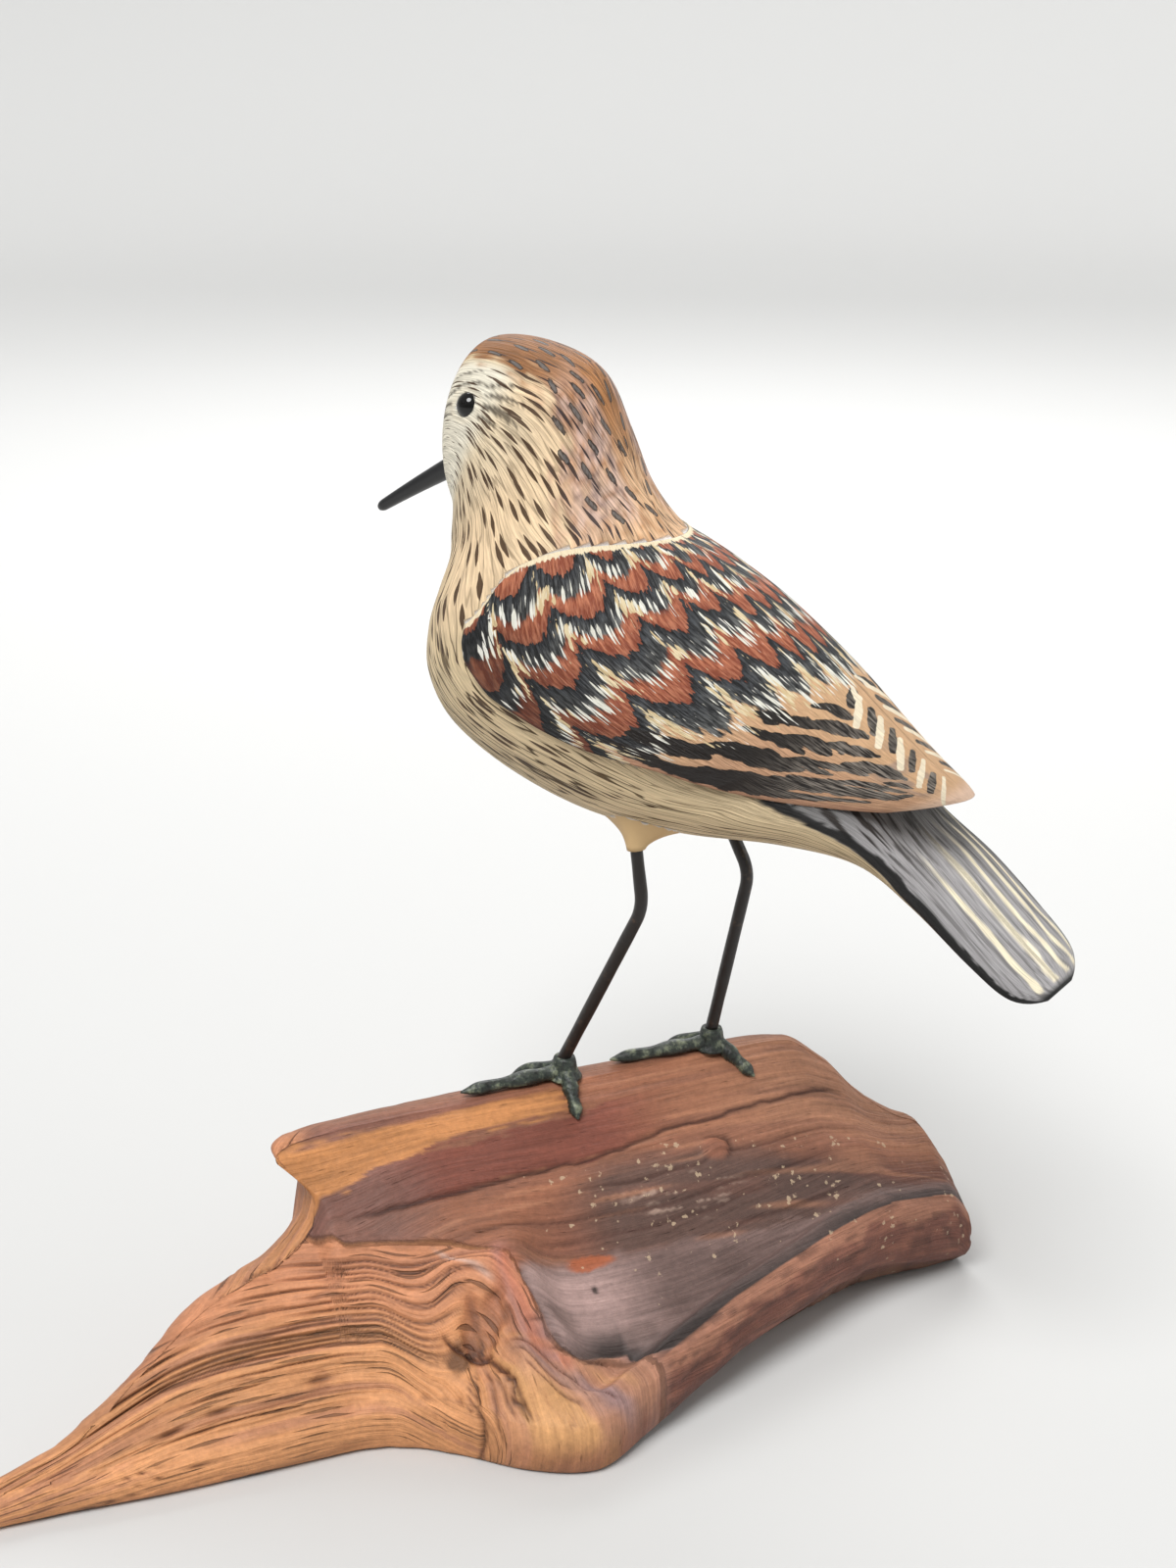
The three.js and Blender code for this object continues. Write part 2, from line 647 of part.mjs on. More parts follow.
const driftwood = woodGeometry();
addMesh(part, 'driftwood_base', driftwood, woodColor, 0.75);
addMesh(bird, 'bird_carving', carvingGeometry(), carvingColor, 0.6);
addMesh(bird, 'bill', billGeometry(), billColor, 0.35);
for (const [side, leg] of Object.entries(legs)) {
  addMesh(bird, `eye_${side}`, eyeBall(Math.sign(leg.hip[1]), 0), glassColor, 0.05);
  addMesh(bird, `leg_${side}`, wireGeometry(leg), wireColor, 0.45, 0.6);
  addMesh(part, `foot_${side}`, footGeometry(side, solidOf(driftwood)), footColor, 0.55);
}
part.add(bird);

// The origin is on the table, under the middle of the whole part
const middle = new THREE.Box3().setFromObject(part, true).getCenter(vector(0, 0, 0));
part.position.set(-middle.x, -middle.y, 0);

export default part;
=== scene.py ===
import bpy
import math
import numpy as np
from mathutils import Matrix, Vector


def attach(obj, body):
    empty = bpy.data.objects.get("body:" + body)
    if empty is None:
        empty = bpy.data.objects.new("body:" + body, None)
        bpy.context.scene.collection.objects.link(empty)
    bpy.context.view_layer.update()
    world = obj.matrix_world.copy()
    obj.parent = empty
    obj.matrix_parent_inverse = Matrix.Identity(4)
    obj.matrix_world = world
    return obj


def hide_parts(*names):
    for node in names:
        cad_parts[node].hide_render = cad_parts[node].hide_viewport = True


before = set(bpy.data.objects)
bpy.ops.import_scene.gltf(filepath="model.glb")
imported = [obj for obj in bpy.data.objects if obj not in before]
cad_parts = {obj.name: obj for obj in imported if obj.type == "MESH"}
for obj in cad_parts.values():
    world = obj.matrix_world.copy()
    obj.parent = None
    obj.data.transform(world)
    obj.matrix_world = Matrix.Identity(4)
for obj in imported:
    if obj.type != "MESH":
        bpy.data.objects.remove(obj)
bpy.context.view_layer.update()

# Driftwood stand
# A weathered root of reddish softwood, broken off at both ends and picked up as it lay.
# It is left bare. The long grain is split open by the weather and curls round one big knot.

# Sizes in millimetres. Places along and across count in hundredths of the wood's length and depth
wood_length = 267
wood_depth = 90
ridge_height = 60
# Where x is 0 in the wood's own frame, in hundredths of the length from the root's tip
wood_ahead = 55.8
lip_thickness = 3.5
scoop_depth = 5
limb_height = 2.2
root_rise = 3
pit_depth = 6
flute_height = 0.7
fold_height = 1.4
knot_height = 1.6
corner_overhang = 12
shoulder_blend = 12
fit_gap = 0.3
# Along, front edge, its underside, top of the roll, ridge line across, ridge height, back edge
wood_rows = np.array([
    [0, -35, 0, 5, -33.5, 7, -31],
    [4, -38, 0, 5, -34, 12, -27],
    [9.5, -39, 0, 5, -33.5, 15.5, -24],
    [14, -40, 0, 6, -32.5, 20, -20],
    [16.5, -41, 0, 7, -31, 26, -17],
    [21.5, -42.5, 0, 8, -25, 37, -9],
    [27, -43.5, 0, 9, -19, 50, 1],
    [31, -44, 0, 10, -16.5, 56, 7],
    [34.5, -44.5, 0, 11, -14, 60, 12],
    [37.8, -45, 0, 12, -11, 70, 18],
    [39.2, -46, 0, 13, -3.5, 92, 22],
    [41, -48, 0, 14, -0.5, 98, 25],
    [44.5, -55, 0, 17, 0, 99.5, 27],
    [50, -70, 0, 19, 0, 100, 28],
    [55, -76.5, 0, 20, 0, 100, 28],
    [60, -71, 2, 23, 0, 100, 28],
    [65, -65.5, 7, 28, 0, 100, 27],
    [71, -59, 14, 34, 0, 100, 26],
    [79, -50.5, 17, 37, 0, 100, 25],
    [86, -43, 18, 38, 0, 98, 21],
    [90, -40, 16, 39, -2, 85, 17],
    [92.5, -38.5, 13, 38, -5, 72, 12],
    [95.5, -37, 9, 36, -9, 62, 7],
    [98, -35.5, 7, 32, -12, 57, 2],
    [99.4, -34.5, 6, 25, -16, 45, -6],
    [100, -32, 7, 17, -22, 28, -14],
])


def soft(x, low, high):
    """The smooth step: 0 below low, 1 above high, and t*t*(3 - 2t) between them."""
    t = np.clip((np.asarray(x, float) - low) / (high - low), 0, 1)
    return t * t * (3 - 2 * t)


def smooth_rows(rows, at):
    """A smooth curve through rows of numbers, read at fractional row numbers.

    At a share t of the way between two rows it is their blend by the smooth step, plus t(1 - t)
    times the first row's slope by 1 - t, less the second's by t. A row's slope is half the
    difference of its two neighbours.
    """
    last = len(rows) - 1
    u = np.clip(at, 0, last)
    i = np.minimum(np.floor(u).astype(int), last - 1)
    t = (u - i)[..., None]
    a, b = rows[i], rows[i + 1]
    before = np.where((i > 0)[..., None], rows[np.maximum(i - 1, 0)], 2 * a - b)
    after = np.where((i < last - 1)[..., None], rows[np.minimum(i + 2, last)], 2 * b - a)
    leave, arrive = (b - before) / 2, (after - a) / 2
    return a + t * t * (3 - 2 * t) * (b - a) + t * (1 - t) * ((1 - t) * leave - t * arrive)


def noise(x, y, seed):
    """Smooth random heights from -1 to 1 over a plane.

    Every corner of a unit grid gets a random height from its whole numbers and the seed, and
    the four corners round a point are blended with the smooth step.
    """
    x, y = np.broadcast_arrays(x, y)
    i, j = np.floor(x).astype(np.int64), np.floor(y).astype(np.int64)
    u, v = soft(x - i, 0, 1), soft(y - j, 0, 1)

    def corner(a, b):
        """A corner's height: its numbers and the seed, mixed by multiplying and shifting."""
        h = (a * 374761393 + b * 668265263 + seed * 974634777) & 0xffffffff
        h = ((h ^ (h >> 13)) * 1274126177) & 0xffffffff
        return ((h ^ (h >> 16)) & 0xffff) / 32767.5 - 1

    low = corner(i, j) * (1 - u) + corner(i + 1, j) * u
    high = corner(i, j + 1) * (1 - u) + corner(i + 1, j + 1) * u
    return low * (1 - v) + high * v


def line(points, x):
    """The height of a broken line, given by its corners, over x."""
    corners = np.array(points, float)
    return np.interp(x, corners[:, 0], corners[:, 1])


def curve(points, x):
    """A broken line with its corners worn off: its mean over nine places up to 8 mm either way."""
    return sum(line(points, x + shift) for shift in np.linspace(-8, 8, 9)) / 9


def wood_profile(x):
    """The six lines that the wood's section hangs on, in millimetres, at x.

    x becomes hundredths of the length, counted from the tip. Each line is the smooth curve
    through its rows there, times a hundredth of the wood's depth or of the ridge's height.
    """
    along = np.clip(x / wood_length * 100 + wood_ahead, 0, 100)
    at = np.interp(along, wood_rows[:, 0], np.arange(len(wood_rows)))
    _, front, under, lip, ridge, crest, back = np.moveaxis(smooth_rows(wood_rows, at), -1, 0)
    across, up = wood_depth / 100, ridge_height / 100
    return (front * across, np.maximum(under, 0) * up, lip * up,
            ridge * across, crest * up, back * across)


def bump(x, y, radius_x, radius_y):
    """A round bump: (1 - r*r)^2 inside an ellipse, where r is 0 in its middle and 1 at its rim."""
    far = (x / radius_x) ** 2 + (y / radius_y) ** 2
    return np.where(far < 1, (1 - far) ** 2, 0)


def wood_relief(along, across, from_front):
    """What the face gains or loses on top of its ruled form, in millimetres.

    The root, the limb, the fan of folds and the knot stand up, and the scoop and the pit go
    down. Each is its height or depth times smooth steps, or a round bump, over its own area.
    """
    behind_lip = soft(from_front, 1.5 * lip_thickness, 3.2 * lip_thickness)
    scoop_ends = soft(along, 53, 57) * (1 - soft(along, 82, 98))
    scoop = behind_lip * scoop_ends * (1 - soft(across, -42, -22))
    limb = 53.2 + 2.2 * soft(-across, 44, 62)
    limb_rise = np.exp(-(((along - limb) / 1.7) ** 2)) * soft(-across, 28, 38)
    root_line = -13 - 17 * soft(along, 38, 51)
    root = soft(root_line - across, 0, 7) * soft(along, 23, 33) * (1 - soft(along, 50.5, 53.5))
    pit = bump(along - 48.4, across + 48, 4.6, 13)
    fold_angle = np.arctan2(2.7 * (along - 49.8), -0.9 * (across + 44))
    fan = np.sin(7 * fold_angle) * bump(along - 54, across + 62, 7, 17)
    knot = bump(along - 74.5, across + 22, 2.2, 4.4)
    return (root_rise * root + limb_height * limb_rise + fold_height * fan
            + knot_height * knot - scoop_depth * scoop - pit_depth * pit)


def wood_height(x, y):
    """The height of the wood's upper side.

    From the front roll to the ridge it is a straight rise plus the relief, which fades out at
    both edges. Behind the ridge, at a share t of the way to the back edge, it is the ridge's
    height times 1 - 0.85 t^3.2.
    """
    front, _, lip, ridge, crest, back = wood_profile(x)
    behind = np.clip((y - ridge) / (back - ridge), 0, 1)
    share = np.clip((y - front) / (ridge - front), 0, 1)
    fade = soft(ridge - y, 0, shoulder_blend) * soft(y - front, lip_thickness, 2.6 * lip_thickness)
    relief = wood_relief(x / wood_length * 100 + wood_ahead, y / wood_depth * 100, y - front)
    face = lip + (crest - lip) * share + relief * fade
    return np.where(y >= ridge, crest * (1 - 0.85 * behind ** 3.2), face)


def wood_surface(stations, roll, face, back_steps, under_steps):
    """Rings of points round the wood: the front roll, the face, the back and the underside.

    The rings stand 0.3 mm apart where the root leaves the block, and up to 0.85 mm elsewhere.
    The roll is an arc from 75 degrees below level to 70 above. The back's steps follow a sine
    and the underside's a square, so that both close up at their edges. At last the top of the
    block's corner is pushed along, by the overhang times how high it stands.
    """
    start = -wood_ahead / 100 * wood_length
    x = np.interp(np.linspace(0, 1, stations + 1), [0, 0.293, 0.429, 0.674, 1],
                  [start, -58, -42, 10, start + wood_length])
    front, under, lip, ridge, crest, back = (value[:, None] for value in wood_profile(x))
    x = x[:, None]
    angle = np.radians(-75 + 145 * np.arange(roll) / roll)[None]
    y_roll = front + lip_thickness * (1 - np.cos(angle))
    y_start = front + lip_thickness
    y_turn = np.maximum(ridge, y_start + 1.5)
    y_face = y_start + (y_turn - y_start) * np.linspace(0, 1, face + 1)
    y_back = y_turn + (back - y_turn) * np.sin(np.pi / 2 * np.arange(1, back_steps + 1) / back_steps)
    inward = (1 - np.linspace(0, 1, under_steps + 1)) ** 2
    y_under = front + 2 * lip_thickness + (back - front - 2 * lip_thickness) * inward
    z_under = under * np.maximum(0, 1 - (y_under - front) / ((back - front) * 0.4)) ** 2
    y_top = np.hstack([y_face, y_back])
    z_top = wood_height(x, y_top)
    z_roll = (under + z_top[:, :1]) / 2 + (z_top[:, :1] - under) / 2 * np.sin(angle)
    y = np.hstack([y_roll, y_top, y_under])
    z = np.hstack([z_roll, z_top, z_under])
    lean = soft(z_top, 0.75 * ridge_height, ridge_height)
    lean = lean * bump(x / wood_length * 100 + wood_ahead - 38.6, 0, 8, 1)
    x = np.repeat(x, y.shape[1], axis=1)
    x[:, roll:roll + y_top.shape[1]] -= corner_overhang * lean
    return np.stack([x, y, z], -1), roll + face


def grid_normals(points):
    """The outward normals of a closed grid: at each point the step around crossed with that along."""
    along = np.gradient(points, axis=0)
    around = np.roll(points, -1, 1) - np.roll(points, 1, 1)
    normal = np.cross(around, along)
    normal /= np.maximum(np.linalg.norm(normal, axis=-1, keepdims=True), 1e-9)
    middle = points.mean(axis=1, keepdims=True)
    outward = np.sign(np.sum(normal * (points - middle)))
    return normal * outward


def skin_faces(rings, around, flipped):
    """Faces of a closed skin: a fan at each end, on a middle point, and quads between the rings."""
    k = np.arange(around)
    after = (k + 1) % around
    ring = 1 + np.arange(rings - 1)[:, None] * around
    quads = np.stack([ring + k, ring + after, ring + after + around, ring + k + around], -1)
    quads = quads.reshape(-1, 4)
    last = 1 + (rings - 1) * around
    start = np.stack([0 * k, 1 + after, 1 + k], -1)
    end = np.stack([0 * k + rings * around + 1, last + k, last + after], -1)
    if flipped:
        quads, start, end = quads[:, ::-1], start[:, ::-1], end[:, ::-1]
    return quads.tolist() + start.tolist() + end.tolist()


def new_object(name, points, faces):
    """A smooth-shaded object from points in metres."""
    mesh = bpy.data.meshes.new(name)
    mesh.from_pydata(np.reshape(points, (-1, 3)).tolist(), [], faces)
    mesh.polygons.foreach_set("use_smooth", np.ones(len(mesh.polygons), bool))
    mesh.update()
    made = bpy.data.objects.new(name, mesh)
    bpy.context.scene.collection.objects.link(made)
    return made


def with_ends(values):
    """A ring value for every point of a skin, the two end points taking their ring's mean."""
    flat = values.reshape(-1, *values.shape[2:])
    return np.concatenate([values[:1].mean(axis=1), flat, values[-1:].mean(axis=1)])


def keep(mesh, name, values):
    """Stores one number, or one linear colour, for every point of a mesh."""
    values = np.asarray(values, np.float32)
    if values.ndim == 1:
        mesh.attributes.new(name, "FLOAT", "POINT").data.foreach_set("value", values)
    else:
        rgba = np.concatenate([values, np.ones((len(values), 1), np.float32)], 1)
        mesh.attributes.new(name, "FLOAT_COLOR", "POINT").data.foreach_set("color", rgba.ravel())


def linear(code):
    """A colour written as six hex digits, as linear red, green and blue.

    Each channel c from 0 to 1 becomes c / 12.92 below 0.04045, else ((c + 0.055) / 1.055) ** 2.4.
    """
    c = np.array([int(code[i:i + 2], 16) for i in (0, 2, 4)]) / 255
    return np.where(c < 0.04045, c / 12.92, ((c + 0.055) / 1.055) ** 2.4)


def blend(tint, code, share):
    """A colour laid over a field of colours: colour * share + field * (1 - share) at each point."""
    return tint + (linear(code) - tint) * np.clip(share, 0, 1)[..., None]


def layered(tint, layers):
    """Colours laid one over the other, each by its own share at every point."""
    for code, share in layers:
        tint = blend(tint, code, share)
    return tint


def add(tree, kind, settings=None, links=None):
    """Adds a node, sets its settings, and fills its inputs.

    An input takes a value, a socket, or a node, which stands for that node's first output.
    """
    made = tree.nodes.new("ShaderNode" + kind)
    for key, value in (settings or {}).items():
        setattr(made, key, value)
    for key, value in (links or {}).items():
        if isinstance(value, bpy.types.Node):
            value = value.outputs[0]
        if isinstance(value, bpy.types.NodeSocket):
            tree.links.new(value, made.inputs[key])
        else:
            made.inputs[key].default_value = value
    return made


def new_material(name):
    """A material and its tree, with the shader ready and nothing else in it."""
    material = bpy.data.materials.new(name)
    material.use_nodes = True
    tree = material.node_tree
    tree.nodes.clear()
    shader = add(tree, "BsdfPrincipled")
    add(tree, "OutputMaterial", None, {"Surface": shader})
    return material, tree, shader


def surface(tree, shader, colour, relief, roughness, sheen=0.5):
    """Joins a shader to its colour and relief, and sets its roughness and how strongly it shines."""
    tree.links.new(colour, shader.inputs["Base Color"])
    tree.links.new(relief.outputs[0], shader.inputs["Normal"])
    shader.inputs["Roughness"].default_value = roughness
    shader.inputs["Specular IOR Level"].default_value = sheen


# The rings, and the points of each on the roll, the face, the back and the underside
ring_count, roll_count, face_count, back_count, under_count = 389, 14, 130, 60, 24
wood_grid, ridge_index = wood_surface(ring_count, roll_count, face_count, back_count, under_count)
back_edge = -under_count - 2
wx, wy, wz = np.moveaxis(wood_grid, -1, 0)
w_front, w_under, _, w_ridge, _, _ = (value[:, None] for value in wood_profile(wood_grid[:, 0, 0]))
# Girth is the length of skin from the ridge, more than 0 on the back. On the roll, on_roll is less
# than 0. Past the face on either side face_y stands still, and beyond counts the skin
steps = np.linalg.norm(np.diff(wood_grid, axis=1), axis=-1)
girth = np.hstack([np.zeros((len(wx), 1)), np.cumsum(steps, axis=1)])
girth = girth - girth[:, ridge_index:ridge_index + 1]
face_y = np.clip(wy, w_front + lip_thickness, w_ridge)
on_roll = girth - girth[:, roll_count:roll_count + 1]
beyond = np.where(on_roll < 0, on_roll, 0) + np.maximum(girth, 0)

# The grain runs along the block. The root's growth layers are slanting planes that close up towards
# its tip: layer counts them from the dark bundle of cracks, and at the knot they turn into arcs.
block_side = curve([(-60, 45), (-20, 45), (0, 54), (12, 54), (36, 53), (60, 46), (100, 34),
                    (120, 30)], wx)
block_across = 50 * face_y / block_side + beyond
# The planes are counted as they look from in front, 24 degrees round and 20 degrees above
slope_along = 0.914 * wx - 0.407 * wy
slope_up = 0.139 * wx + 0.312 * wy + 0.940 * wz
layer_high = curve([(-133, -20.2), (-102.9, -6.1), (-83.1, 7.6), (-63.1, 18.9), (-48.8, 21.7),
                    (-32.4, 22.8), (-22.1, 23.6), (-13.8, 23.2), (-5.4, 19.7)], slope_along)
layer_low = curve([(-132.3, -32.1), (-102.1, -19.5), (-90.1, -13.5), (-82.1, -8.6), (-76.2, -4),
                   (-62.2, 2.7), (-52, 5.1), (-41.7, 6.3), (-31.5, 7.8), (-21.2, 8.2), (-14.9, 6.9),
                   (-9.6, 3), (-4.2, -0.6)], slope_along)
layer_under = curve([(-132.2, -36.1), (-101.6, -28.8), (-81.1, -26.6), (-60.7, -22.6), (-40.2, -19),
                     (-30, -17.3), (-19.7, -16.9), (-9.4, -17.9), (1.1, -21)], slope_along)
layers_above, layers_below = 13, 24
above = slope_up - layer_low
layer = np.where(above > 0, layers_above * above / (layer_high - layer_low),
                 layers_below * above / (layer_low - layer_under))
turn_x, turn_y, turn_radius = -24, -44, 14
round_x, round_y = np.maximum(wx - turn_x, 0), np.maximum(face_y - turn_y, 0)
round_knot = (np.hypot(round_x, round_y) - 3) / turn_radius
fanned = soft(wx, -25, -19) * soft(-face_y, 41, 46)
spread = 1 + 0.03 * np.maximum(turn_y - face_y, 0)
root_across = layers_above * round_knot / np.where(wx > turn_x, spread, 1) + beyond * (1 - fanned)
root_across = layer + (root_across - layer) * soft(wx, -40, -22)
turned = np.arctan2(round_x, round_y + 1e-6)
arc_along = turn_x + turn_radius * turned - np.minimum(face_y - turn_y, 0) * (turned > 0.5)
root_along = np.where(wx > turn_x, arc_along, wx) - beyond * fanned
root_edge = line([(-150, 40), (-60, 5), (-52.5, -8), (-45, -15), (-42.5, -17.7), (-33, -19.5),
                  (-25, -22.5), (-20, -25), (-15, -28.5), (-9, -33), (-7.5, -40), (-6.7, -48.7),
                  (-4.2, -52), (0, -53.7), (6, -53), (13, -54.5), (18, -60), (24, -70)], wx)
ragged = 0.8 * noise(wx / 9, wy / 0.9, 3) + 0.5 * noise(wx / 3, wy / 0.5, 4)
on_root = soft(root_edge - face_y, -0.6, 0.8) * (girth < 1)
on_root = np.where(girth > 0, soft(-wx, 42, 52), on_root)
grain_turn = np.where(girth > 0, soft(-wx, 36, 84), on_root)
grain_along = np.where(on_root > 0.5, root_along, wx)
grain_across = block_across + (root_across - block_across) * grain_turn


def ridged(x, y, seed):
    """Narrow lines: 1 less the size of smooth noise, so 1 where the noise passes through 0."""
    return 1 - np.abs(noise(x, y, seed))


groove = (soft(ridged(grain_along / 34, grain_across / 2.6, 11), 0.8, 1)
          + 0.6 * soft(ridged(grain_along / 20, grain_across / 1.7, 12), 0.8, 1))
grain = (0.6 * noise(grain_along / 45, grain_across / 3.2, 13)
         + 0.4 * noise(grain_along / 22, grain_across / 1.5, 14))


def between(x, first, last, ramp):
    """1 from first to last, with a smooth step of the ramp's length inside each end."""
    return soft(x, first, first + ramp) * (1 - soft(x, last - ramp, last))


# Open splits: each has its place across the root's grain, where it starts and ends along it, and
# its half width
splits = np.zeros_like(wx)
for place, start, end, width in [
        (-1.5, -100, -24, 0.30), (-0.6, -112, -22, 0.34), (0.3, -96, -20, 0.40), (1.2, -108, -22, 0.30),
        (2.2, -80, -20, 0.30), (3.2, -70, -22, 0.28), (-2.4, -88, -60, 0.25), (4.6, -62, -16, 0.22),
        (5.8, -84, -30, 0.20), (7.0, -58, -12, 0.24), (8.2, -74, -34, 0.20), (9.2, -52, -8, 0.22),
        (10.4, -64, -30, 0.20), (11.6, -56, -4, 0.24), (12.8, -62, -10, 0.26), (6.3, -40, -14, 0.22),
        (3.9, -98, -74, 0.22), (8.8, -34, -10, 0.20), (-9.9, -83, -71, 0.55), (-10.6, -94, -82, 0.50),
        (-8.7, -60, -48, 0.45), (-11.0, -122, -108, 0.50), (-6.4, -90, -60, 0.20),
        (-13.0, -96, -50, 0.18), (-16.0, -110, -70, 0.20), (-19.0, -104, -60, 0.18),
        (-4.5, -80, -40, 0.18), (-21.0, -124, -90, 0.20)]:
    wander = (0.5 * noise(grain_along / 27, place + 0 * wx, 21)
              + 0.1 * noise(grain_along / 5, place + 0 * wx, 22))
    window = between(grain_along, start, end, min(14, (end - start) / 2))
    splits = np.maximum(splits, window * np.exp(-((grain_across - place - wander) / width) ** 2))
# Where the coordinate runs steeply through the mesh, narrow lines fade out
steep = np.maximum(np.abs(np.gradient(grain_across, axis=0)), np.abs(np.gradient(grain_across, axis=1)))
splits *= on_root * (girth < 2) * (1 - soft(steep, 0.7, 1.3))

# The long crack below the ridge, and the short ones round the knot
on_front = girth < 0
crack_line = curve([(-50, -11.5), (-20, -16.8), (-10, -17.7), (11.7, -17), (26.7, -16.8),
                    (29.2, -14.9), (40, -14.3), (50, -13.5), (60, -12.8), (70, -11), (80.8, -10.8),
                    (90, -7.8)], wx)
crack_near = (wy - crack_line - 0.3 * noise(wx / 3, 0 * wx, 31)) / 0.45
crack = np.exp(-crack_near ** 2) * soft(wx, -46, -30) * (1 - soft(wx, 84, 92)) * on_front
pit_far = np.hypot((wx + 18) / 5.2, (wy + 40.5) / 4.6)
pit = (1 - soft(pit_far + 0.5 * noise(wx / 2.2, wy / 1.6, 32), 0.4, 1.3)) * on_front
knot_crack = np.zeros_like(wx)
for points in [[(-27, -39.5), (-24, -42), (-21, -44), (-18.5, -45.5)],
               [(-34, -43), (-30, -46.5), (-27, -49)]]:
    near = (wy - line(points, wx) - 0.5 * noise(wx / 1.5, 0 * wx, 33)) / 0.5
    first, last = points[0][0], points[-1][0]
    window = between(wx, first - 1, last + 1, 2)
    knot_crack = np.maximum(knot_crack, np.exp(-near ** 2) * window)
down_line = line([(-62, -15), (-57, -17), (-50, -18.3), (-44, -20), (-39, -18)], wy)
down_line = down_line + 0.6 * noise(wy / 1.7, 0 * wx, 34)
down_window = soft(wy, -61, -57) * (1 - soft(wy, -43, -40))
knot_crack = np.maximum(knot_crack, np.exp(-((wx - down_line) / 0.5) ** 2) * down_window)
seam_line = line([(-64, -25.5), (-58, -24.4), (-52, -24), (-46, -22.6)], wy)
seam_line = seam_line + 0.5 * noise(wy / 2, 0 * wx, 37)
seam = np.exp(-((wx - seam_line) / 0.4) ** 2) * soft(wy, -66, -60) * (1 - soft(wy, -48, -44))
knot_crack = np.maximum(knot_crack, seam * 0.8) * on_front

# The scoop, with a sharp step down behind the lip and beside the limb
lip_edge = line([(-8, -30), (-7, -53), (-4.2, -53), (0, -53.7), (5.8, -52.8), (11.7, -52.4),
                 (12.8, -54.5), (16.7, -56.2), (23.3, -55.8), (36.7, -53.3), (50, -49.5),
                 (60, -46.2), (78.3, -38.7), (100, -33.7), (125, -30)], wx)
limb_edge = line([(-60, -2), (-53.7, -1), (-52, -4.2), (-48.7, -6.7), (-42, -7), (-37, -8.3),
                  (-33, -8)], wy)
scoop_top = line([(-8.3, -35.3), (-2.5, -33.7), (3.3, -32.8), (20, -33), (50, -33.5), (80, -31),
                  (118, -24)], wx)
inside = np.minimum(wy - lip_edge, wx - limb_edge)
in_scoop = soft(inside + 0.4 * ragged, -0.3, 0.9) * soft(scoop_top - wy + ragged, -0.8, 2.5) * on_front
in_scoop = in_scoop * np.where(wx > 10, soft(on_roll, -0.4, 0.5), 1)
roll_share = np.clip((wz - w_under) / np.maximum(wz[:, roll_count:roll_count + 1] - w_under, 1), 0, 1)
scoop_edge = np.exp(-(np.maximum(inside, 0) / 2.2) ** 2) * soft(inside, -0.2, 0.4) * in_scoop
below_lip = (1 - soft(inside, -3, 0.4)) * soft(wx, -3, 6) * on_front
lobe = soft(wx, -24, -14) * (1 - soft(wx, 10, 20)) * soft(-wy, 42, 50) * (1 - in_scoop) * on_front
# Folds that fan out from the knot down the lobe: each has its direction, and where it starts and ends
fan_angle = np.degrees(np.arctan2(wy + 40, wx + 19))
fan_far = np.hypot(wx + 19, wy + 40) + np.maximum(-on_roll, 0)
fold_dark = np.zeros_like(wx)
for number, (direction, first, last) in enumerate([
        (-128, 6, 20), (-118, 8, 26), (-104, 5, 30), (-93, 9, 22), (-80, 5, 34), (-71, 12, 30),
        (-62, 8, 26), (-52, 6, 36), (-43, 14, 32), (-33, 9, 26), (-22, 12, 24)]):
    bend = direction + 5 * noise(fan_far / 7, number + 0 * wx, 41) + 0.5 * (fan_far - 10)
    off = np.radians(fan_angle - bend) * fan_far / 0.32
    window = soft(fan_far, first, first + 4) * (1 - soft(fan_far, last - 5, last))
    fold_dark = np.maximum(fold_dark, np.exp(-off ** 2) * window)
fold_dark = fold_dark * soft(-wy, 38, 43) * (1 - in_scoop) * on_front
# Fine long cracks in the block's face, and the cracked rim of its small knot
block_cracks = np.zeros_like(wx)
for points, first, last in [([(-40, -24), (0, -27), (30, -27.5), (60, -25), (90, -20)], -30, 84),
                            ([(-20, -29.5), (10, -31), (40, -30), (80, -24.5)], -10, 70),
                            ([(0, -22.5), (30, -23), (60, -20.5), (100, -15)], 6, 96),
                            ([(30, -35), (60, -31.5), (100, -25)], 30, 92)]:
    off = (wy - curve(points, wx) - 0.5 * noise(wx / 9, len(points) + 0 * wx, 35)) / 0.3
    block_cracks = np.maximum(block_cracks, np.exp(-off ** 2) * between(wx, first, last, 20))
block_cracks *= on_front * (1 - on_root)
small_knot = np.hypot((wx - 50) / 5.2, (wy + 19.8) / 3.2)
rim_off = (small_knot - 0.85 - 0.15 * noise(wx / 2, wy / 2, 36)) / 0.13
knot_rim = np.exp(-rim_off ** 2) * soft(wx + wy, 28, 33) * on_front

# How far each point is drawn in, in millimetres. Round the feet the wood stays nearly whole, and
# towards both ends, the floor and the back edge everything fades out.
near_feet = np.exp(-((wx - 20) / 16) ** 2) + np.exp(-((wx - 55) / 18) ** 2)
calm = 1 - 0.8 * np.clip(near_feet, 0, 1) * soft(girth, -22, -14) * (1 - soft(girth, 10, 18))
rough = 0.28 + 0.22 * on_root - 0.12 * in_scoop - 0.2 * lobe
sink = (rough * groove * 0.55 + 0.35 * (1 - grain) * rough + 0.95 * splits + 0.7 * crack + 1.6 * pit
        + 1.1 * knot_crack + 1.3 * scoop_edge + 0.6 * fold_dark + 0.4 * block_cracks + 0.9 * knot_rim
        + 0.25 * (1 - noise(wx / 7, wy / 5, 42)))
face_fade = (soft(w_ridge - face_y, 0, shoulder_blend)
             * soft(face_y - w_front, lip_thickness, 2.6 * lip_thickness))
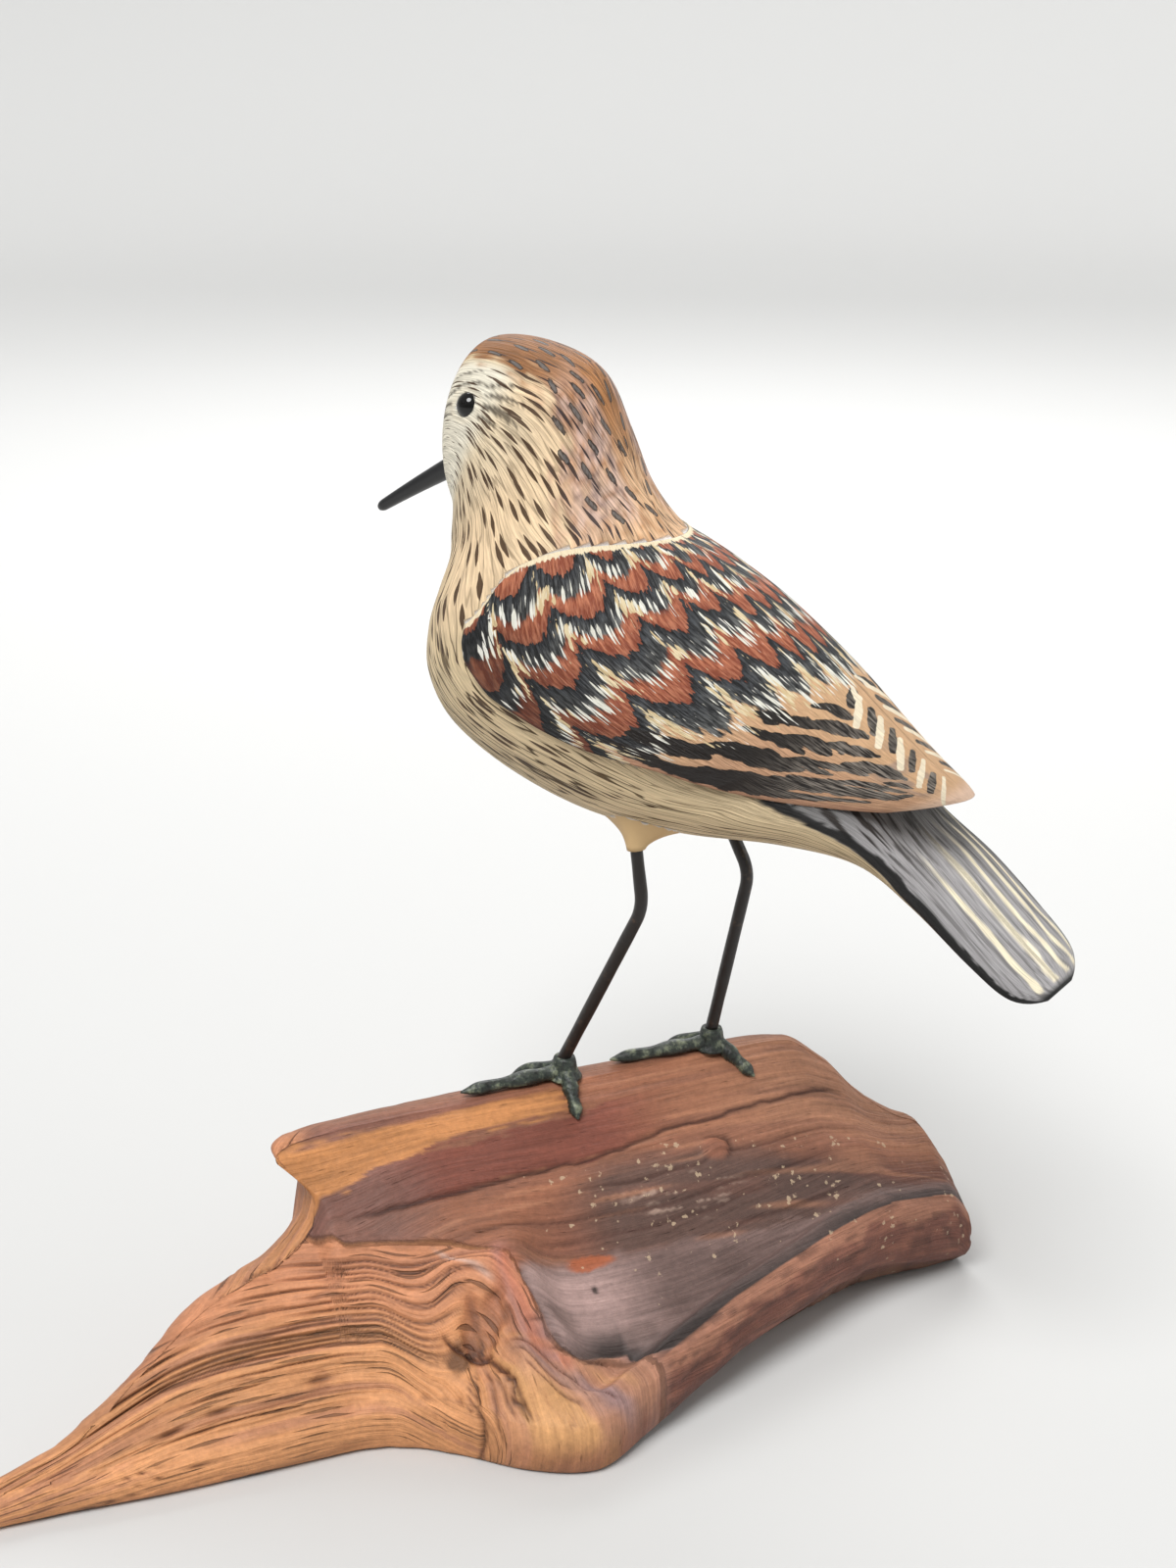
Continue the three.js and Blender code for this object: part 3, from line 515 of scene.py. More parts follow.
flutes = flute_height / 2 * np.sin(1.1 * grain_across) * soft(-wx, 23.5, 39.5) * face_fade * on_root
near_ends = soft(np.minimum(wx + 149, 118 - wx), 0, 3)
sink = (sink - flutes) * calm * near_ends + 0.5 * np.exp(-(girth / 2.5) ** 2) * (wx > -60)
roll_crease = soft(roll_share, 0.35, 0.5) * (1 - soft(roll_share, 0.55, 0.72))
sink = sink + 0.5 * roll_crease * (on_roll < 0) * soft(wx, 12, 24)
sink = sink * soft(wz, 0.4, 4.5) * soft(np.abs(girth - girth[:, back_edge:back_edge + 1]), 0, 6)
wood_points = wood_grid - grid_normals(wood_grid) * sink[..., None]

# Colours of the wood, laid one over the other
jag = wy + 0.9 * ragged
dark_edge = line([(6, -19), (24, -16.5), (50, -17), (96, -25)], wx)
under_crack = soft(crack_line - jag, -9.5, -9) * soft(jag - crack_line, -0.3, 0.3)
patch_edge = line([(-54, -9.9), (-38.3, -9.4), (-30.8, -7.8), (-20, -8), (-16.7, -6.8), (0, -6.8),
                   (17.5, -6.2), (24, -2)], wx)
patch = soft(jag - patch_edge, -0.3, 0.3) * (1 - soft(jag, -2.2, -0.6))
patch = patch * (1 - soft(wx + 6 * ragged, 12, 26))
orange_spot = bump(wx - 11, wy + 34 + 0.5 * ragged, 9, 1.5)
lip_side = soft(wx, 8, 18) * (on_roll < 0.6) * on_front
# Where a lighter band is painted along the top of the lip's roll, as light falling on it
lip_top_light = soft(roll_share + 0.12 * noise(wx / 4, 0 * wx, 49), 0.74, 0.86)
fan_tone = noise(fan_angle / 9, fan_far / 30, 43)
limb_near = np.exp(-((wx - limb_edge + 3) / 2.4) ** 2)
limb_near = limb_near * soft(-wy, 28, 33) * (1 - soft(-wy, 53, 57)) * on_front
pale_line = (wy - line([(-26, -23.5), (-24, -25), (-15, -35), (-13, -37)], wx)) / 0.9
pale_line = np.exp(-pale_line ** 2) * soft(wx, -25, -22) * (1 - soft(wx, -16, -13))
deep = np.hypot((wx + 25) / 5, (wy + 42.4) / 3) + 0.45 * noise(wx / 2.4, wy / 1.3, 38)
# A small pin hole, not cut: a dark spot painted for the shade inside it
pin_hole = 1 - soft(np.hypot(wx - 9.8, wy + 38.8), 0.4, 1.1)
dust = soft(noise(wx / 6, wy / 0.5, 44), 0.55, 0.8) * bump(wx - 38, wy + 26.5, 22, 6)
tint = layered(np.tile(linear("8c5a42"), (*wx.shape, 1)), [
    # The block: paler at the ridge, browner below, with a dark band and long streaks
    ("a5755a", soft(wx, 30, 85) * soft(jag, -24, -12)),
    ("7c5040", soft(-jag, 18, 30) * soft(wx, -10, 10) * 0.8),
    ("644239", soft(wx, 30, 60) * soft(-jag, 18, 27) * 0.9),
    ("58433c", soft(wx, 4, 22) * soft(dark_edge - jag, -1, 5) * 0.92),
    ("7d5547", soft(noise(wx / 26, wy / 1.6, 53), 0.1, 0.7) * 0.35),
    ("b07c5f", soft(noise(wx / 22, wy / 1.3, 54), 0.3, 0.8) * 0.45),
    ("7a4436", under_crack * (1 - soft(wx, 22, 46))),
    ("7d5a50", soft(-wx, 14, 34) * soft(jag, -26, -20) * 0.8),
    ("bb7f4e", patch),
    ("845647", soft(jag, -1.6, -0.4) * soft(-wx, -6, 4) * 0.8),
    # The scoop: grey, with painted shade making it darker to the right and nearly black at its lower
    # right
    ("a18680", in_scoop),
    ("6d5a54", in_scoop * soft(noise(wx / 9, wy / 4, 47), 0, 0.6) * 0.5),
    ("4d3a35", in_scoop * soft(wx, 6, 30) * 0.8),
    ("2f2b2a", in_scoop * soft(-inside, -9, -1.5) * soft(wx, -6, 8) * 0.9),
    ("b0603c", 0.9 * soft(orange_spot, 0.1, 0.6) * on_front),
    # The lip and its rounded front: painted shade where it curves under, a painted lit band on top
    ("8f5a48", below_lip),
    ("70463a", lip_side),
    ("8c5b49", lip_side * soft(noise(wx / 5, wz / 1.6, 48), -0.1, 0.6) * 0.7),
    ("996a54", lip_side * lip_top_light * 0.9),
    ("4e3128", lip_side * soft(noise(wx / 7, wz / 0.9, 55), 0.15, 0.6) * 0.6),
    # The root, and the lobe with its folds
    ("cf9263", on_root),
    ("bd7d5e", on_root * soft(grain_across + 3 * noise(wx / 30, grain_across / 5, 50), 2, 9) * 0.7),
    ("a4705c", on_root * soft(noise(grain_along / 60, grain_across / 2.2, 51), 0.1, 0.7) * 0.5),
    ("c18c6a", lobe),
    ("9a6d5c", lobe * soft(wx, -8, 6) * 0.6),
    ("8f7474", lobe * soft(fan_tone, 0.0, 0.35) * soft(wx, -18, -8) * 0.9),
    ("d09c64", lobe * soft(-fan_tone, 0.05, 0.4) * 0.7),
    ("bb7259", limb_near * 0.8),
    ("a87f78", limb_near * soft(noise(wx / 3, wy / 9, 52), 0, 0.6) * 0.7),
    ("c9a493", pale_line * 0.9),
    # The pit beside the knot, and painted shade in hollows: the knot's hole, grooves, splits, cracks,
    # folds
    ("8f5c48", pit * 0.6),
    ("2e1a12", (1 - soft(deep, 0.35, 1.0)) * 0.75 * on_front),
    ("4a2a1c", pit ** 2 * soft(noise(wx / 1.8, wy / 3.5, 39), -0.1, 0.6) * 0.55),
    # Painted shade on the lobe's roll, darker where it curves under towards the floor
    ("8a523a", lobe * (on_roll < 0) * (1 - soft(roll_share, 0.25, 0.8)) * 0.6),
    ("7a4836", soft(groove, 0.7, 1.4) * on_root * 0.3),
    ("3a1a12", np.clip(splits * 0.9 + knot_crack, 0, 1) * 0.88),
    ("3b1e17", crack * 0.9 + block_cracks * 0.5),
    ("9a6148", (1 - soft(small_knot, 0.6, 0.9)) * 0.5 * on_front),
    ("2c1a15", knot_rim * 0.7),
    ("4f2a1e", fold_dark * 0.7),
    # Painted shade at the foot of the scoop's step behind the lip
    ("332a27", scoop_edge * 0.6 * soft(wx, -12, -4)),
    # The pin hole is not cut: this dark spot is painted shade
    ("1c1310", pin_hole * on_front * 0.9),
    # Fine pale dust on the block, and the back of the whole wood
    ("c3a796", dust * 0.6),
    ("8b6049", soft(girth, 0, 5) * (0.3 + 0.4 * soft(wx, -50, -40))),
])
tint[:, back_edge + 1:] = tint[:, back_edge:back_edge + 1]
tint *= (1 + 0.16 * grain + 0.10 * noise(wx / 14, wy / 8, 45))[..., None]
# How open the grain is, and where the crumbs of lichen lie: in patches on the block's face
root_rough = 0.40 * on_root * (1 - lobe) * (0.8 + 0.6 * noise(wx / 20, wy / 6, 46))
crumb_patches = 0.35 + 0.65 * soft(noise(wx / 8, wy / 2.5, 61), -0.1, 0.5)
crumb_field = (1 - on_root) * soft(girth, -75, -40) * soft(-wy, 13, 19) * soft(wx, -14, 20)

# Where the middle of the whole part lies in the wood's own frame. The shared frame starts there
middle = np.array([-15.486, -11.475, 0])


def shared(points):
    """Points in the wood's frame, in millimetres, as points of the shared frame in metres."""
    return (points - middle) / 1000


# The grooves may not push a point past the wood's ends
wood_points[..., 0] = np.clip(wood_points[..., 0], wx.min(), wx.max())
wood = new_object("wood_stand", shared(with_ends(wood_points)), skin_faces(*wx.shape, True))
for name, values in [("tint", tint), ("grain_along", grain_along), ("grain_across", grain_across),
                     ("rough", np.clip(0.22 + root_rough - 0.1 * in_scoop, 0, 1)),
                     ("dusty", crumb_field * crumb_patches)]:
    keep(wood.data, name, with_ends(values))

# Bare weathered wood: a dry open surface, so high roughness and almost no sheen
bare_wood, tree, shader = new_material("weathered bare wood")
tone = add(tree, "Attribute", {"attribute_name": "tint"})
along = add(tree, "Attribute", {"attribute_name": "grain_along"})
across = add(tree, "Attribute", {"attribute_name": "grain_across"})
coarse = add(tree, "Attribute", {"attribute_name": "rough"})
# Grain lines about 18 mm long and 0.9 mm wide. Real ones are finer, and would be lost at this distance
long_way = add(tree, "Math", {"operation": "DIVIDE"}, {0: along.outputs["Fac"], 1: 18.0})
cross_way = add(tree, "Math", {"operation": "DIVIDE"}, {0: across.outputs["Fac"], 1: 0.9})
place = add(tree, "CombineXYZ", None, {"X": long_way, "Y": cross_way})
lines = add(tree, "TexNoise", None, {"Vector": place, "Scale": 1.0, "Detail": 3.0, "Roughness": 0.6})
shade = add(tree, "MapRange", None,
            {"Value": lines.outputs["Fac"], "From Min": 0.3, "From Max": 0.7,
             "To Min": 0.77, "To Max": 1.17})
# Open checks, most of them on the root: a pointed split in each cell of the grain, 26 by about 1.5 mm
split_long = add(tree, "Math", {"operation": "DIVIDE"}, {0: along.outputs["Fac"], 1: 26.0})
split_cross = add(tree, "Math", {"operation": "DIVIDE"}, {0: across.outputs["Fac"], 1: 1.5})
sway = add(tree, "Math", {"operation": "MULTIPLY_ADD"},
           {0: lines.outputs["Fac"], 1: 0.5, 2: split_cross})
split_place = add(tree, "CombineXYZ", None, {"X": split_long, "Y": sway})
checks = add(tree, "TexVoronoi", {"voronoi_dimensions": "2D", "distance": "MINKOWSKI"},
             {"Vector": split_place, "Scale": 1.0, "Randomness": 1.0, "Exponent": 1.2})
check_depth = add(tree, "Math", {"operation": "MULTIPLY_ADD"},
                  {0: coarse.outputs["Fac"], 1: 0.42, 2: -0.04})
check_inside = add(tree, "Math", {"operation": "SUBTRACT"},
                   {0: check_depth, 1: checks.outputs["Distance"]})
split_share = add(tree, "MapRange", None,
                  {"Value": check_inside, "From Min": 0.0, "From Max": 0.08,
                   "To Min": 0.0, "To Max": 0.75})
grained = add(tree, "VectorMath", {"operation": "SCALE"}, {0: tone.outputs["Color"], "Scale": shade})
# Inside a split the colour falls to 0.3 of itself, as painted shade
split_tone = add(tree, "VectorMath", {"operation": "SCALE"}, {0: grained, "Scale": 0.3})
painted = add(tree, "Mix", {"data_type": "RGBA"}, {"Factor": split_share, 6: grained, 7: split_tone})
# Small pores and dust, 1.5 mm across
where = add(tree, "TexCoord")
specks = add(tree, "TexNoise", None,
             {"Vector": where.outputs["Object"], "Scale": 650.0, "Detail": 4.0, "Roughness": 0.7})
speck_shade = add(tree, "MapRange", None,
                  {"Value": specks.outputs["Fac"], "From Min": 0.3, "From Max": 0.75,
                   "To Min": 0.84, "To Max": 1.14})
speckled = add(tree, "VectorMath", {"operation": "SCALE"},
               {0: painted.outputs[2], "Scale": speck_shade})
# Pale crumbs of lichen with ragged rims, at most one in each cell of 2.6 mm
crumbs = add(tree, "TexVoronoi", None,
             {"Vector": where.outputs["Object"], "Scale": 390.0, "Randomness": 1.0})
crumb_size = add(tree, "Math", {"operation": "MULTIPLY_ADD"},
                 {0: specks.outputs["Fac"], 1: 1.5, 2: -0.5})
dusty = add(tree, "Attribute", {"attribute_name": "dusty"})
crumb_reach = add(tree, "Math", {"operation": "MULTIPLY"}, {0: crumb_size, 1: dusty.outputs["Fac"]})
crumb_inside = add(tree, "Math", {"operation": "SUBTRACT"},
                   {0: crumb_reach, 1: crumbs.outputs["Distance"]})
crumb_share = add(tree, "MapRange", None,
                  {"Value": crumb_inside, "From Min": 0.0, "From Max": 0.09,
                   "To Min": 0.0, "To Max": 0.6})
finished = add(tree, "Mix", {"data_type": "RGBA"},
               {"Factor": crumb_share, 6: speckled, 7: (*linear("c2ab8e"), 1)})
rough_height = add(tree, "Math", {"operation": "MULTIPLY_ADD"},
                   {0: specks.outputs["Fac"], 1: 0.35, 2: lines.outputs["Fac"]})
height = add(tree, "Math", {"operation": "MULTIPLY_ADD"}, {0: split_share, 1: -1.0, 2: rough_height})
relief = add(tree, "Bump", None, {"Height": height, "Strength": 0.8, "Distance": 0.0007})
surface(tree, shader, finished.outputs[2], relief, 0.6, 0.35)
wood.data.materials.append(bare_wood)
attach(wood, "root")
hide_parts("driftwood_base")

# Bird's feet
# Two cast metal feet with four knuckled toes each, laid over the ridge of the wood.
# They are painted a dark green-grey, thin and paler in patches, and glued to the wood.
bird_heading = 122
bird_place = np.array([40, 1, ridge_height])
left_foot_ahead = 11.5
right_foot_behind = 9.5
stance_width = 33
ankle_height = 5
ankle_diameter = 6.4
toe_diameter = 4.2
wire_diameter = 3.1
foot_socket_depth = 4
# Each toe's direction in degrees from the bird's heading, and its length
toes = {
    "left": [[57, 27], [8, 27], [-42, 23], [141, 14]],
    "right": [[53, 27], [4, 27], [-46, 23], [187, 14]],
}
foot_places = {"left": [left_foot_ahead, stance_width / 2],
               "right": [-right_foot_behind, -stance_width / 2]}


def turned_about(points, degrees):
    """Points turned about the upright axis: x' = x cos a - y sin a, y' = x sin a + y cos a."""
    a = math.radians(degrees)
    x, y, z = np.moveaxis(np.asarray(points, float), -1, 0)
    return np.stack([x * math.cos(a) - y * math.sin(a), x * math.sin(a) + y * math.cos(a), z], -1)


def from_bird(points):
    """From the bird's frame to the wood's, in millimetres: turned by the heading, then moved."""
    return turned_about(points, bird_heading) + bird_place


def to_bird(points):
    """From the wood's frame to the bird's: moved back, then turned back."""
    return turned_about(np.asarray(points, float) - bird_place, -bird_heading)


def unit_vector(v):
    """A vector divided by its length."""
    return v / np.linalg.norm(v, axis=-1, keepdims=True)


def rod_rings(centres, radii, sides, up=(0, 0, 1)):
    """Rings of points round a path: centre + radius * (side * cos a + above * sin a)."""
    forward = unit_vector(np.gradient(centres, axis=0))
    side = unit_vector(np.cross(forward, up))
    above = np.cross(side, forward)
    a = 2 * np.pi * np.arange(sides) / sides
    ring = side[:, None] * np.cos(a)[:, None] + above[:, None] * np.sin(a)[:, None]
    return centres[:, None] + ring * np.asarray(radii)[:, None, None]


def rod_object(name, rings):
    """A closed object from rings of points in the wood's frame, with a fan at each end."""
    return new_object(name, shared(with_ends(rings)), skin_faces(len(rings), rings.shape[1], False))


def combined(target, others, operation):
    """Joins or cuts closed meshes with Boolean modifiers, and keeps only the finished mesh."""
    for other in others:
        cut = target.modifiers.new("combine", "BOOLEAN")
        cut.operation, cut.solver, cut.object = operation, "MANIFOLD", other
    bpy.context.view_layer.update()
    done = target.evaluated_get(bpy.context.evaluated_depsgraph_get())
    mesh = bpy.data.meshes.new_from_object(done)
    target.modifiers.clear()
    target.data = mesh
    for other in others:
        bpy.data.objects.remove(other)


def rounded_end(share, start):
    """The share of its radius that a rounded end keeps: sqrt(1 - 0.97 t*t), from start on."""
    over = np.maximum(share - start, 0) / (1 - start)
    return np.sqrt(1 - 0.97 * over ** 2)


def ankle_point(side):
    """The top of a foot: its place, at the wood's height there plus the gap and the ankle's height."""
    place = from_bird([*foot_places[side], 0])
    place[2] = wood_height(place[0], place[1]) + fit_gap + ankle_height
    return place


def toe_rings(ankle, degrees, length, seed):
    """One toe: steps along the wood's surface, with knuckles and fine cross ribs in its radius.

    The radius shrinks by 40% to the tip, times 1 + 0.12 cos(5 pi s) for the knuckles, and the
    path is the mean over nine steps, so that the toe bridges the wood's small hollows.
    """
    heading = math.radians(bird_heading + degrees)
    steps = 56
    x, y = ankle[0], ankle[1]
    centres = []
    for i in range(steps + 1):
        share = i / steps
        level = float(wood_height(x, y))
        centres.append((x, y, level + 0.4 * toe_diameter * (1 - 0.4 * share)))
        rise = float(wood_height(x + math.cos(heading), y + math.sin(heading))) - level
        run = length / steps / math.hypot(1, rise)
        x, y = x + run * math.cos(heading), y + run * math.sin(heading)
    centres = np.array(centres)
    kernel = np.ones(9) / 9
    smoothed = [np.convolve(np.pad(centres[:, k], 4, "edge"), kernel, "valid") for k in range(3)]
    centres = np.stack(smoothed, -1)
    share = np.linspace(0, 1, steps + 1)
    knuckles = 1 + 0.12 * np.cos(5 * np.pi * share) + 0.05 * noise(share * 9, 0 * share, seed)
    claw = 1 - 0.45 * soft(share, 0.8, 0.97)
    radii = toe_diameter / 2 * (1 - 0.4 * share) * knuckles * rounded_end(share, 0.85) * claw
    rings = rod_rings(centres, radii, 28)
    # Ribs 1.1 mm apart, cut across the toe's sides
    rib = 0.06 * np.sin(2 * np.pi * share * length / 1.1)[:, None, None]
    outward = rings - centres[:, None]
    return rings + outward * rib * (1 - soft(outward[..., 2:], 0.2, 1.0))


def above_wood(rings):
    """Lifts whatever lies under the wood's surface to a hair above it."""
    level = wood_height(rings[..., 0], rings[..., 1]) + fit_gap
    lifted = rings.copy()
    lifted[..., 2] = np.maximum(rings[..., 2], level)
    return lifted


def set_stops(ramp, stops):
    """Gives a colour ramp its stops, each a place from 0 to 1 and a linear colour."""
    elements = ramp.color_ramp.elements
    for place, colour in stops:
        elements.new(place).color = (*colour, 1)
    elements.remove(elements[0])
    elements.remove(elements[-1])


# Thin dark green paint, worn paler in patches: half gloss, and no bare metal shows
cast, tree, shader = new_material("painted cast metal")
where = add(tree, "TexCoord")
# Patches of 2.4 mm
cloud = add(tree, "TexNoise", None,
            {"Vector": where.outputs["Object"], "Scale": 420.0, "Detail": 4.0, "Roughness": 0.65})
worn = add(tree, "ValToRGB", None, {"Fac": cloud.outputs["Fac"]})
set_stops(worn, [(0.38, linear("171c19")), (0.53, linear("333b34")), (0.7, linear("7d836c"))])
relief = add(tree, "Bump", None,
             {"Height": cloud.outputs["Fac"], "Strength": 0.9, "Distance": 0.0006})
surface(tree, shader, worn.outputs["Color"], relief, 0.42)
for side, places in toes.items():
    ankle = ankle_point(side)
    base = ankle - [0, 0, ankle_height + fit_gap]
    share = np.linspace(0, 1, 13)
    centres = base + share[:, None] * (ankle - base)
    # The ankle's post tapers from 1.25 to 0.75 of its radius, and has one shallow waist
    post = ankle_diameter / 2 * (1.25 - 0.5 * share) * (1 + 0.05 * np.cos(7 * share))
    foot = rod_object(f"cast_foot_{side}", above_wood(rod_rings(centres, post, 32, (1, 0, 0))))
    parts = []
    for number, (degrees, length) in enumerate(places):
        rings = above_wood(toe_rings(ankle, degrees, length, 50 + number))
        parts.append(rod_object("toe", rings))
    combined(foot, parts, "UNION")
    foot.data.materials.clear()
    foot.data.materials.append(cast)
    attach(foot, "root")
    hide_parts(f"foot_{side}")

# Leg wires
# Two iron rods of 3.1 mm, bent at the knee, let into the thighs above and the feet below.
# They carry a brush coat of brown-black paint with small runs and bare spots.
bird_length = 182
belly_clearance = 63
wire_socket_depth = 8
knee_height = 49
knee_bend = 4
# The bird is drawn in hundredths of its length: hips and knees by along and across
unit = bird_length / 100
hips = {"left": [-4.8, 9.3], "right": [-6.6, -8.4]}
knees = {"left": [-5.8, 9.3], "right": [-10.8, -8.4]}


def leg_places(side):
    """Hip, knee and ankle in the bird's frame, and the ways up from the knee and down from it."""
    hip = np.array([hips[side][0] * unit, hips[side][1] * unit, belly_clearance])
    knee = np.array([knees[side][0] * unit, knees[side][1] * unit, knee_height])
    ankle = to_bird(ankle_point(side))
    return hip, knee, ankle, unit_vector(hip - knee), unit_vector(ankle - knee)


# Brown-black enamel over iron: smooth but uneven, so a broken soft gloss
black_wire, tree, shader = new_material("brush-painted iron wire")
where = add(tree, "TexCoord")
# Runs and bare spots in patches of 3.3 mm
cloud = add(tree, "TexNoise", None,
            {"Vector": where.outputs["Object"], "Scale": 300.0, "Detail": 5.0, "Roughness": 0.7})
worn = add(tree, "MapRange", None,
           {"Value": cloud.outputs["Fac"], "From Min": 0.58, "From Max": 0.72,
            "To Min": 0.0, "To Max": 0.6})
brown = add(tree, "Mix", {"data_type": "RGBA"},
            {"Factor": worn, 6: (*linear("1c1714"), 1), 7: (*linear("5a4434"), 1)})
relief = add(tree, "Bump", None,
             {"Height": cloud.outputs["Fac"], "Strength": 0.5, "Distance": 0.0005})
surface(tree, shader, brown.outputs[2], relief, 0.38)
for side in hips:
    hip, knee, ankle, rise, fall = leg_places(side)
    start, end = knee + rise * knee_bend, knee + fall * knee_bend
    top, bottom = hip + rise * wire_socket_depth, ankle + fall * foot_socket_depth
    t = np.linspace(0, 1, 13)[:, None]
    bend = (1 - t) ** 2 * start + 2 * t * (1 - t) * knee + t ** 2 * end
    upper = top + np.linspace(0, 1, 20)[:-1, None] * (start - top)
    lower = end + np.linspace(0, 1, 40)[1:, None] * (bottom - end)
    centres = np.concatenate([upper, bend, lower])
    run = np.arange(len(centres))
    # The coat of paint is uneven, so that in places the rod is up to 8% thinner
    radii = wire_diameter / 2 * (0.96 + 0.04 * noise(run / 6, 0 * run, 61))
    rings = rod_rings(centres, radii, 24, (0, 1, 0))
    wire = rod_object(f"wire_leg_{side}", from_bird(rings))
    wire.data.materials.append(black_wire)
    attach(wire, "root")
    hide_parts(f"leg_{side}")

# Painted carving
# The bird itself: one piece of soft wood carved to shape, with the folded wings raised over the
# back and the tail running out below them. It is scored along every feather and then painted.
head_turn = 3
neck_pivot = 11
wing_step = 1.2
wing_front_step = 0.4
blade_thickness = 5
thigh_neck = 4.4
thigh_flare = 12.5
bill_root_diameter = 6.4
bill_socket_depth = 4
eye_opening = 5.4
eye_hidden = 0.6
# Back along and up, belly along and up, half width, where it is widest, fullness above and below
torso_rows = np.array([
    [25.5, 44.0, 25.5, 41.5, 1.6, 0.5, 2, 2],
    [25.7, 49.5, 25.7, 38.5, 4.8, 0.5, 2, 2],
    [25.5, 54.5, 26.0, 36.5, 7.0, 0.5, 2, 2],
    [23.4, 59.2, 25.8, 35.5, 8.6, 0.45, 2, 2],
    [15.5, 59.5, 26.5, 34.5, 9.6, 0.45, 2, 2],
    [8.0, 56.8, 27.5, 32.5, 10.2, 0.5, 2, 2],
    [4.0, 50.0, 28.0, 30.0, 10.7, 0.5, 2, 2],
    [1.0, 43.5, 29.5, 26.5, 12.0, 0.5, 2, 2],
    [-3.5, 38.5, 31.0, 21.5, 14.0, 0.5, 2, 2],
    [-10.0, 35.2, 31.0, 15.5, 15.6, 0.5, 2, 2],
    [-16.5, 31.8, 27.0, 9.5, 16.4, 0.5, 2, 2],
    [-23.0, 27.5, 17.5, 4.5, 16.2, 0.5, 2, 2],
    [-29.0, 23.0, 6.0, 3.0, 15.0, 0.5, 2, 2],
    [-34.5, 18.7, -6.5, 4.0, 12.6, 0.55, 2, 2],
    [-39.0, 15.4, -21.0, 6.0, 9.4, 0.6, 2, 2],
    [-43.0, 12.9, -34.0, 8.5, 5.6, 0.6, 2, 2],
    [-45.0, 11.6, -44.0, 10.8, 1.4, 0.5, 2, 2],
])
tail_rows = np.array([
    [-29.0, 19.5, 5.5, 1.4, 14.2, 0.5, 2, 2],
    [-33.0, 14.5, -7.5, 1.2, 12.4, 0.45, 2, 2],
    [-35.5, 10.5, -21.0, 2.2, 10.6, 0.3, 2.2, 1.8],
    [-39.0, 6.8, -32.5, 2.4, 9.6, 0.25, 2.6, 1.8],
    [-44.5, 2.5, -41.0, -0.2, 10.0, 0.3, 3, 2],
    [-51.0, -3.2, -49.0, -5.2, 9.9, 0.3, 3, 2],
    [-55.4, -6.7, -54.0, -8.3, 8.8, 0.4, 3, 2],
    [-57.9, -8.7, -57.2, -9.6, 4.9, 0.5, 3, 2],
])
# The body follows the torso as far as the rump and then the tail. The wings go on along the torso
body_rows = np.concatenate([torso_rows[:12], tail_rows])
wing_tip_row = len(torso_rows) - 1
# The wings' lower edge, by row and angle from the back line
wing_edges = [[7.5, 96], [8.3, 104], [9, 107], [9.8, 105], [11, 96], [12, 88], [13, 82], [14, 77],
              [16, 74]]


def section(rows, at, angle):
    """A point of the carving in the bird's frame, in millimetres.

    Along and up run straight from the back line to the belly line, by a power of the cosine of
    the angle, and across is the half width times the same power of its sine. The head's rows are
    turned about the neck at the end.
    """
    row = smooth_rows(rows, at)
    cosine, sine = np.cos(angle), np.sin(angle)
    power = 2 / np.where(cosine >= 0, row[..., 6], row[..., 7])
    c = np.abs(cosine) ** power
    widest = row[..., 5]
    down = np.where(cosine >= 0, widest * (1 - c), widest + (1 - widest) * c)
    x = (row[..., 0] + (row[..., 2] - row[..., 0]) * down) * unit
    y = np.sign(sine) * np.abs(sine) ** power * row[..., 4] * unit
    z = belly_clearance + (row[..., 1] + (row[..., 3] - row[..., 1]) * down) * unit
    turn = -np.radians(head_turn) * (1 - soft(at, 3, 8.5))
    x = x - neck_pivot * unit
    return np.stack([x * np.cos(turn) - y * np.sin(turn) + neck_pivot * unit,
                     x * np.sin(turn) + y * np.cos(turn), z], -1)


# Feather columns, in degrees from the back line, and in each the rows where its dark bands start
columns = [0, 9, 18, 31, 47, 68.5, 90, 112]
bands = [[8.4, 9.2, 10.2, 11.2], [8.45, 9.15, 10.2, 11.1], [8.1, 9.05, 9.85, 11.1],
         [8.1, 9.0, 10.0, 11.1], [8.05, 9.1, 10.0, 11.05], [8.1, 9.2, 10.15, 11.2],
         [8.5, 9.75, 10.6, 11.5]]
feather_curve = 0.62
# Millimetres of skin to a row, and to a degree of angle for marks and for strokes
row_length = 11.5
mark_width = 0.38
flank_width = 0.5


def front_row(reach):
    """The row where the cape of feathers begins, at a share of the way down from the back line.

    8.2, less 0.66 over the first 70% of the way, and then 0.75 more, as a squared smooth step.
    """
    return 8.2 - 0.66 * soft(reach, 0, 0.7) + 0.75 * soft(reach, 0.7, 1) ** 2


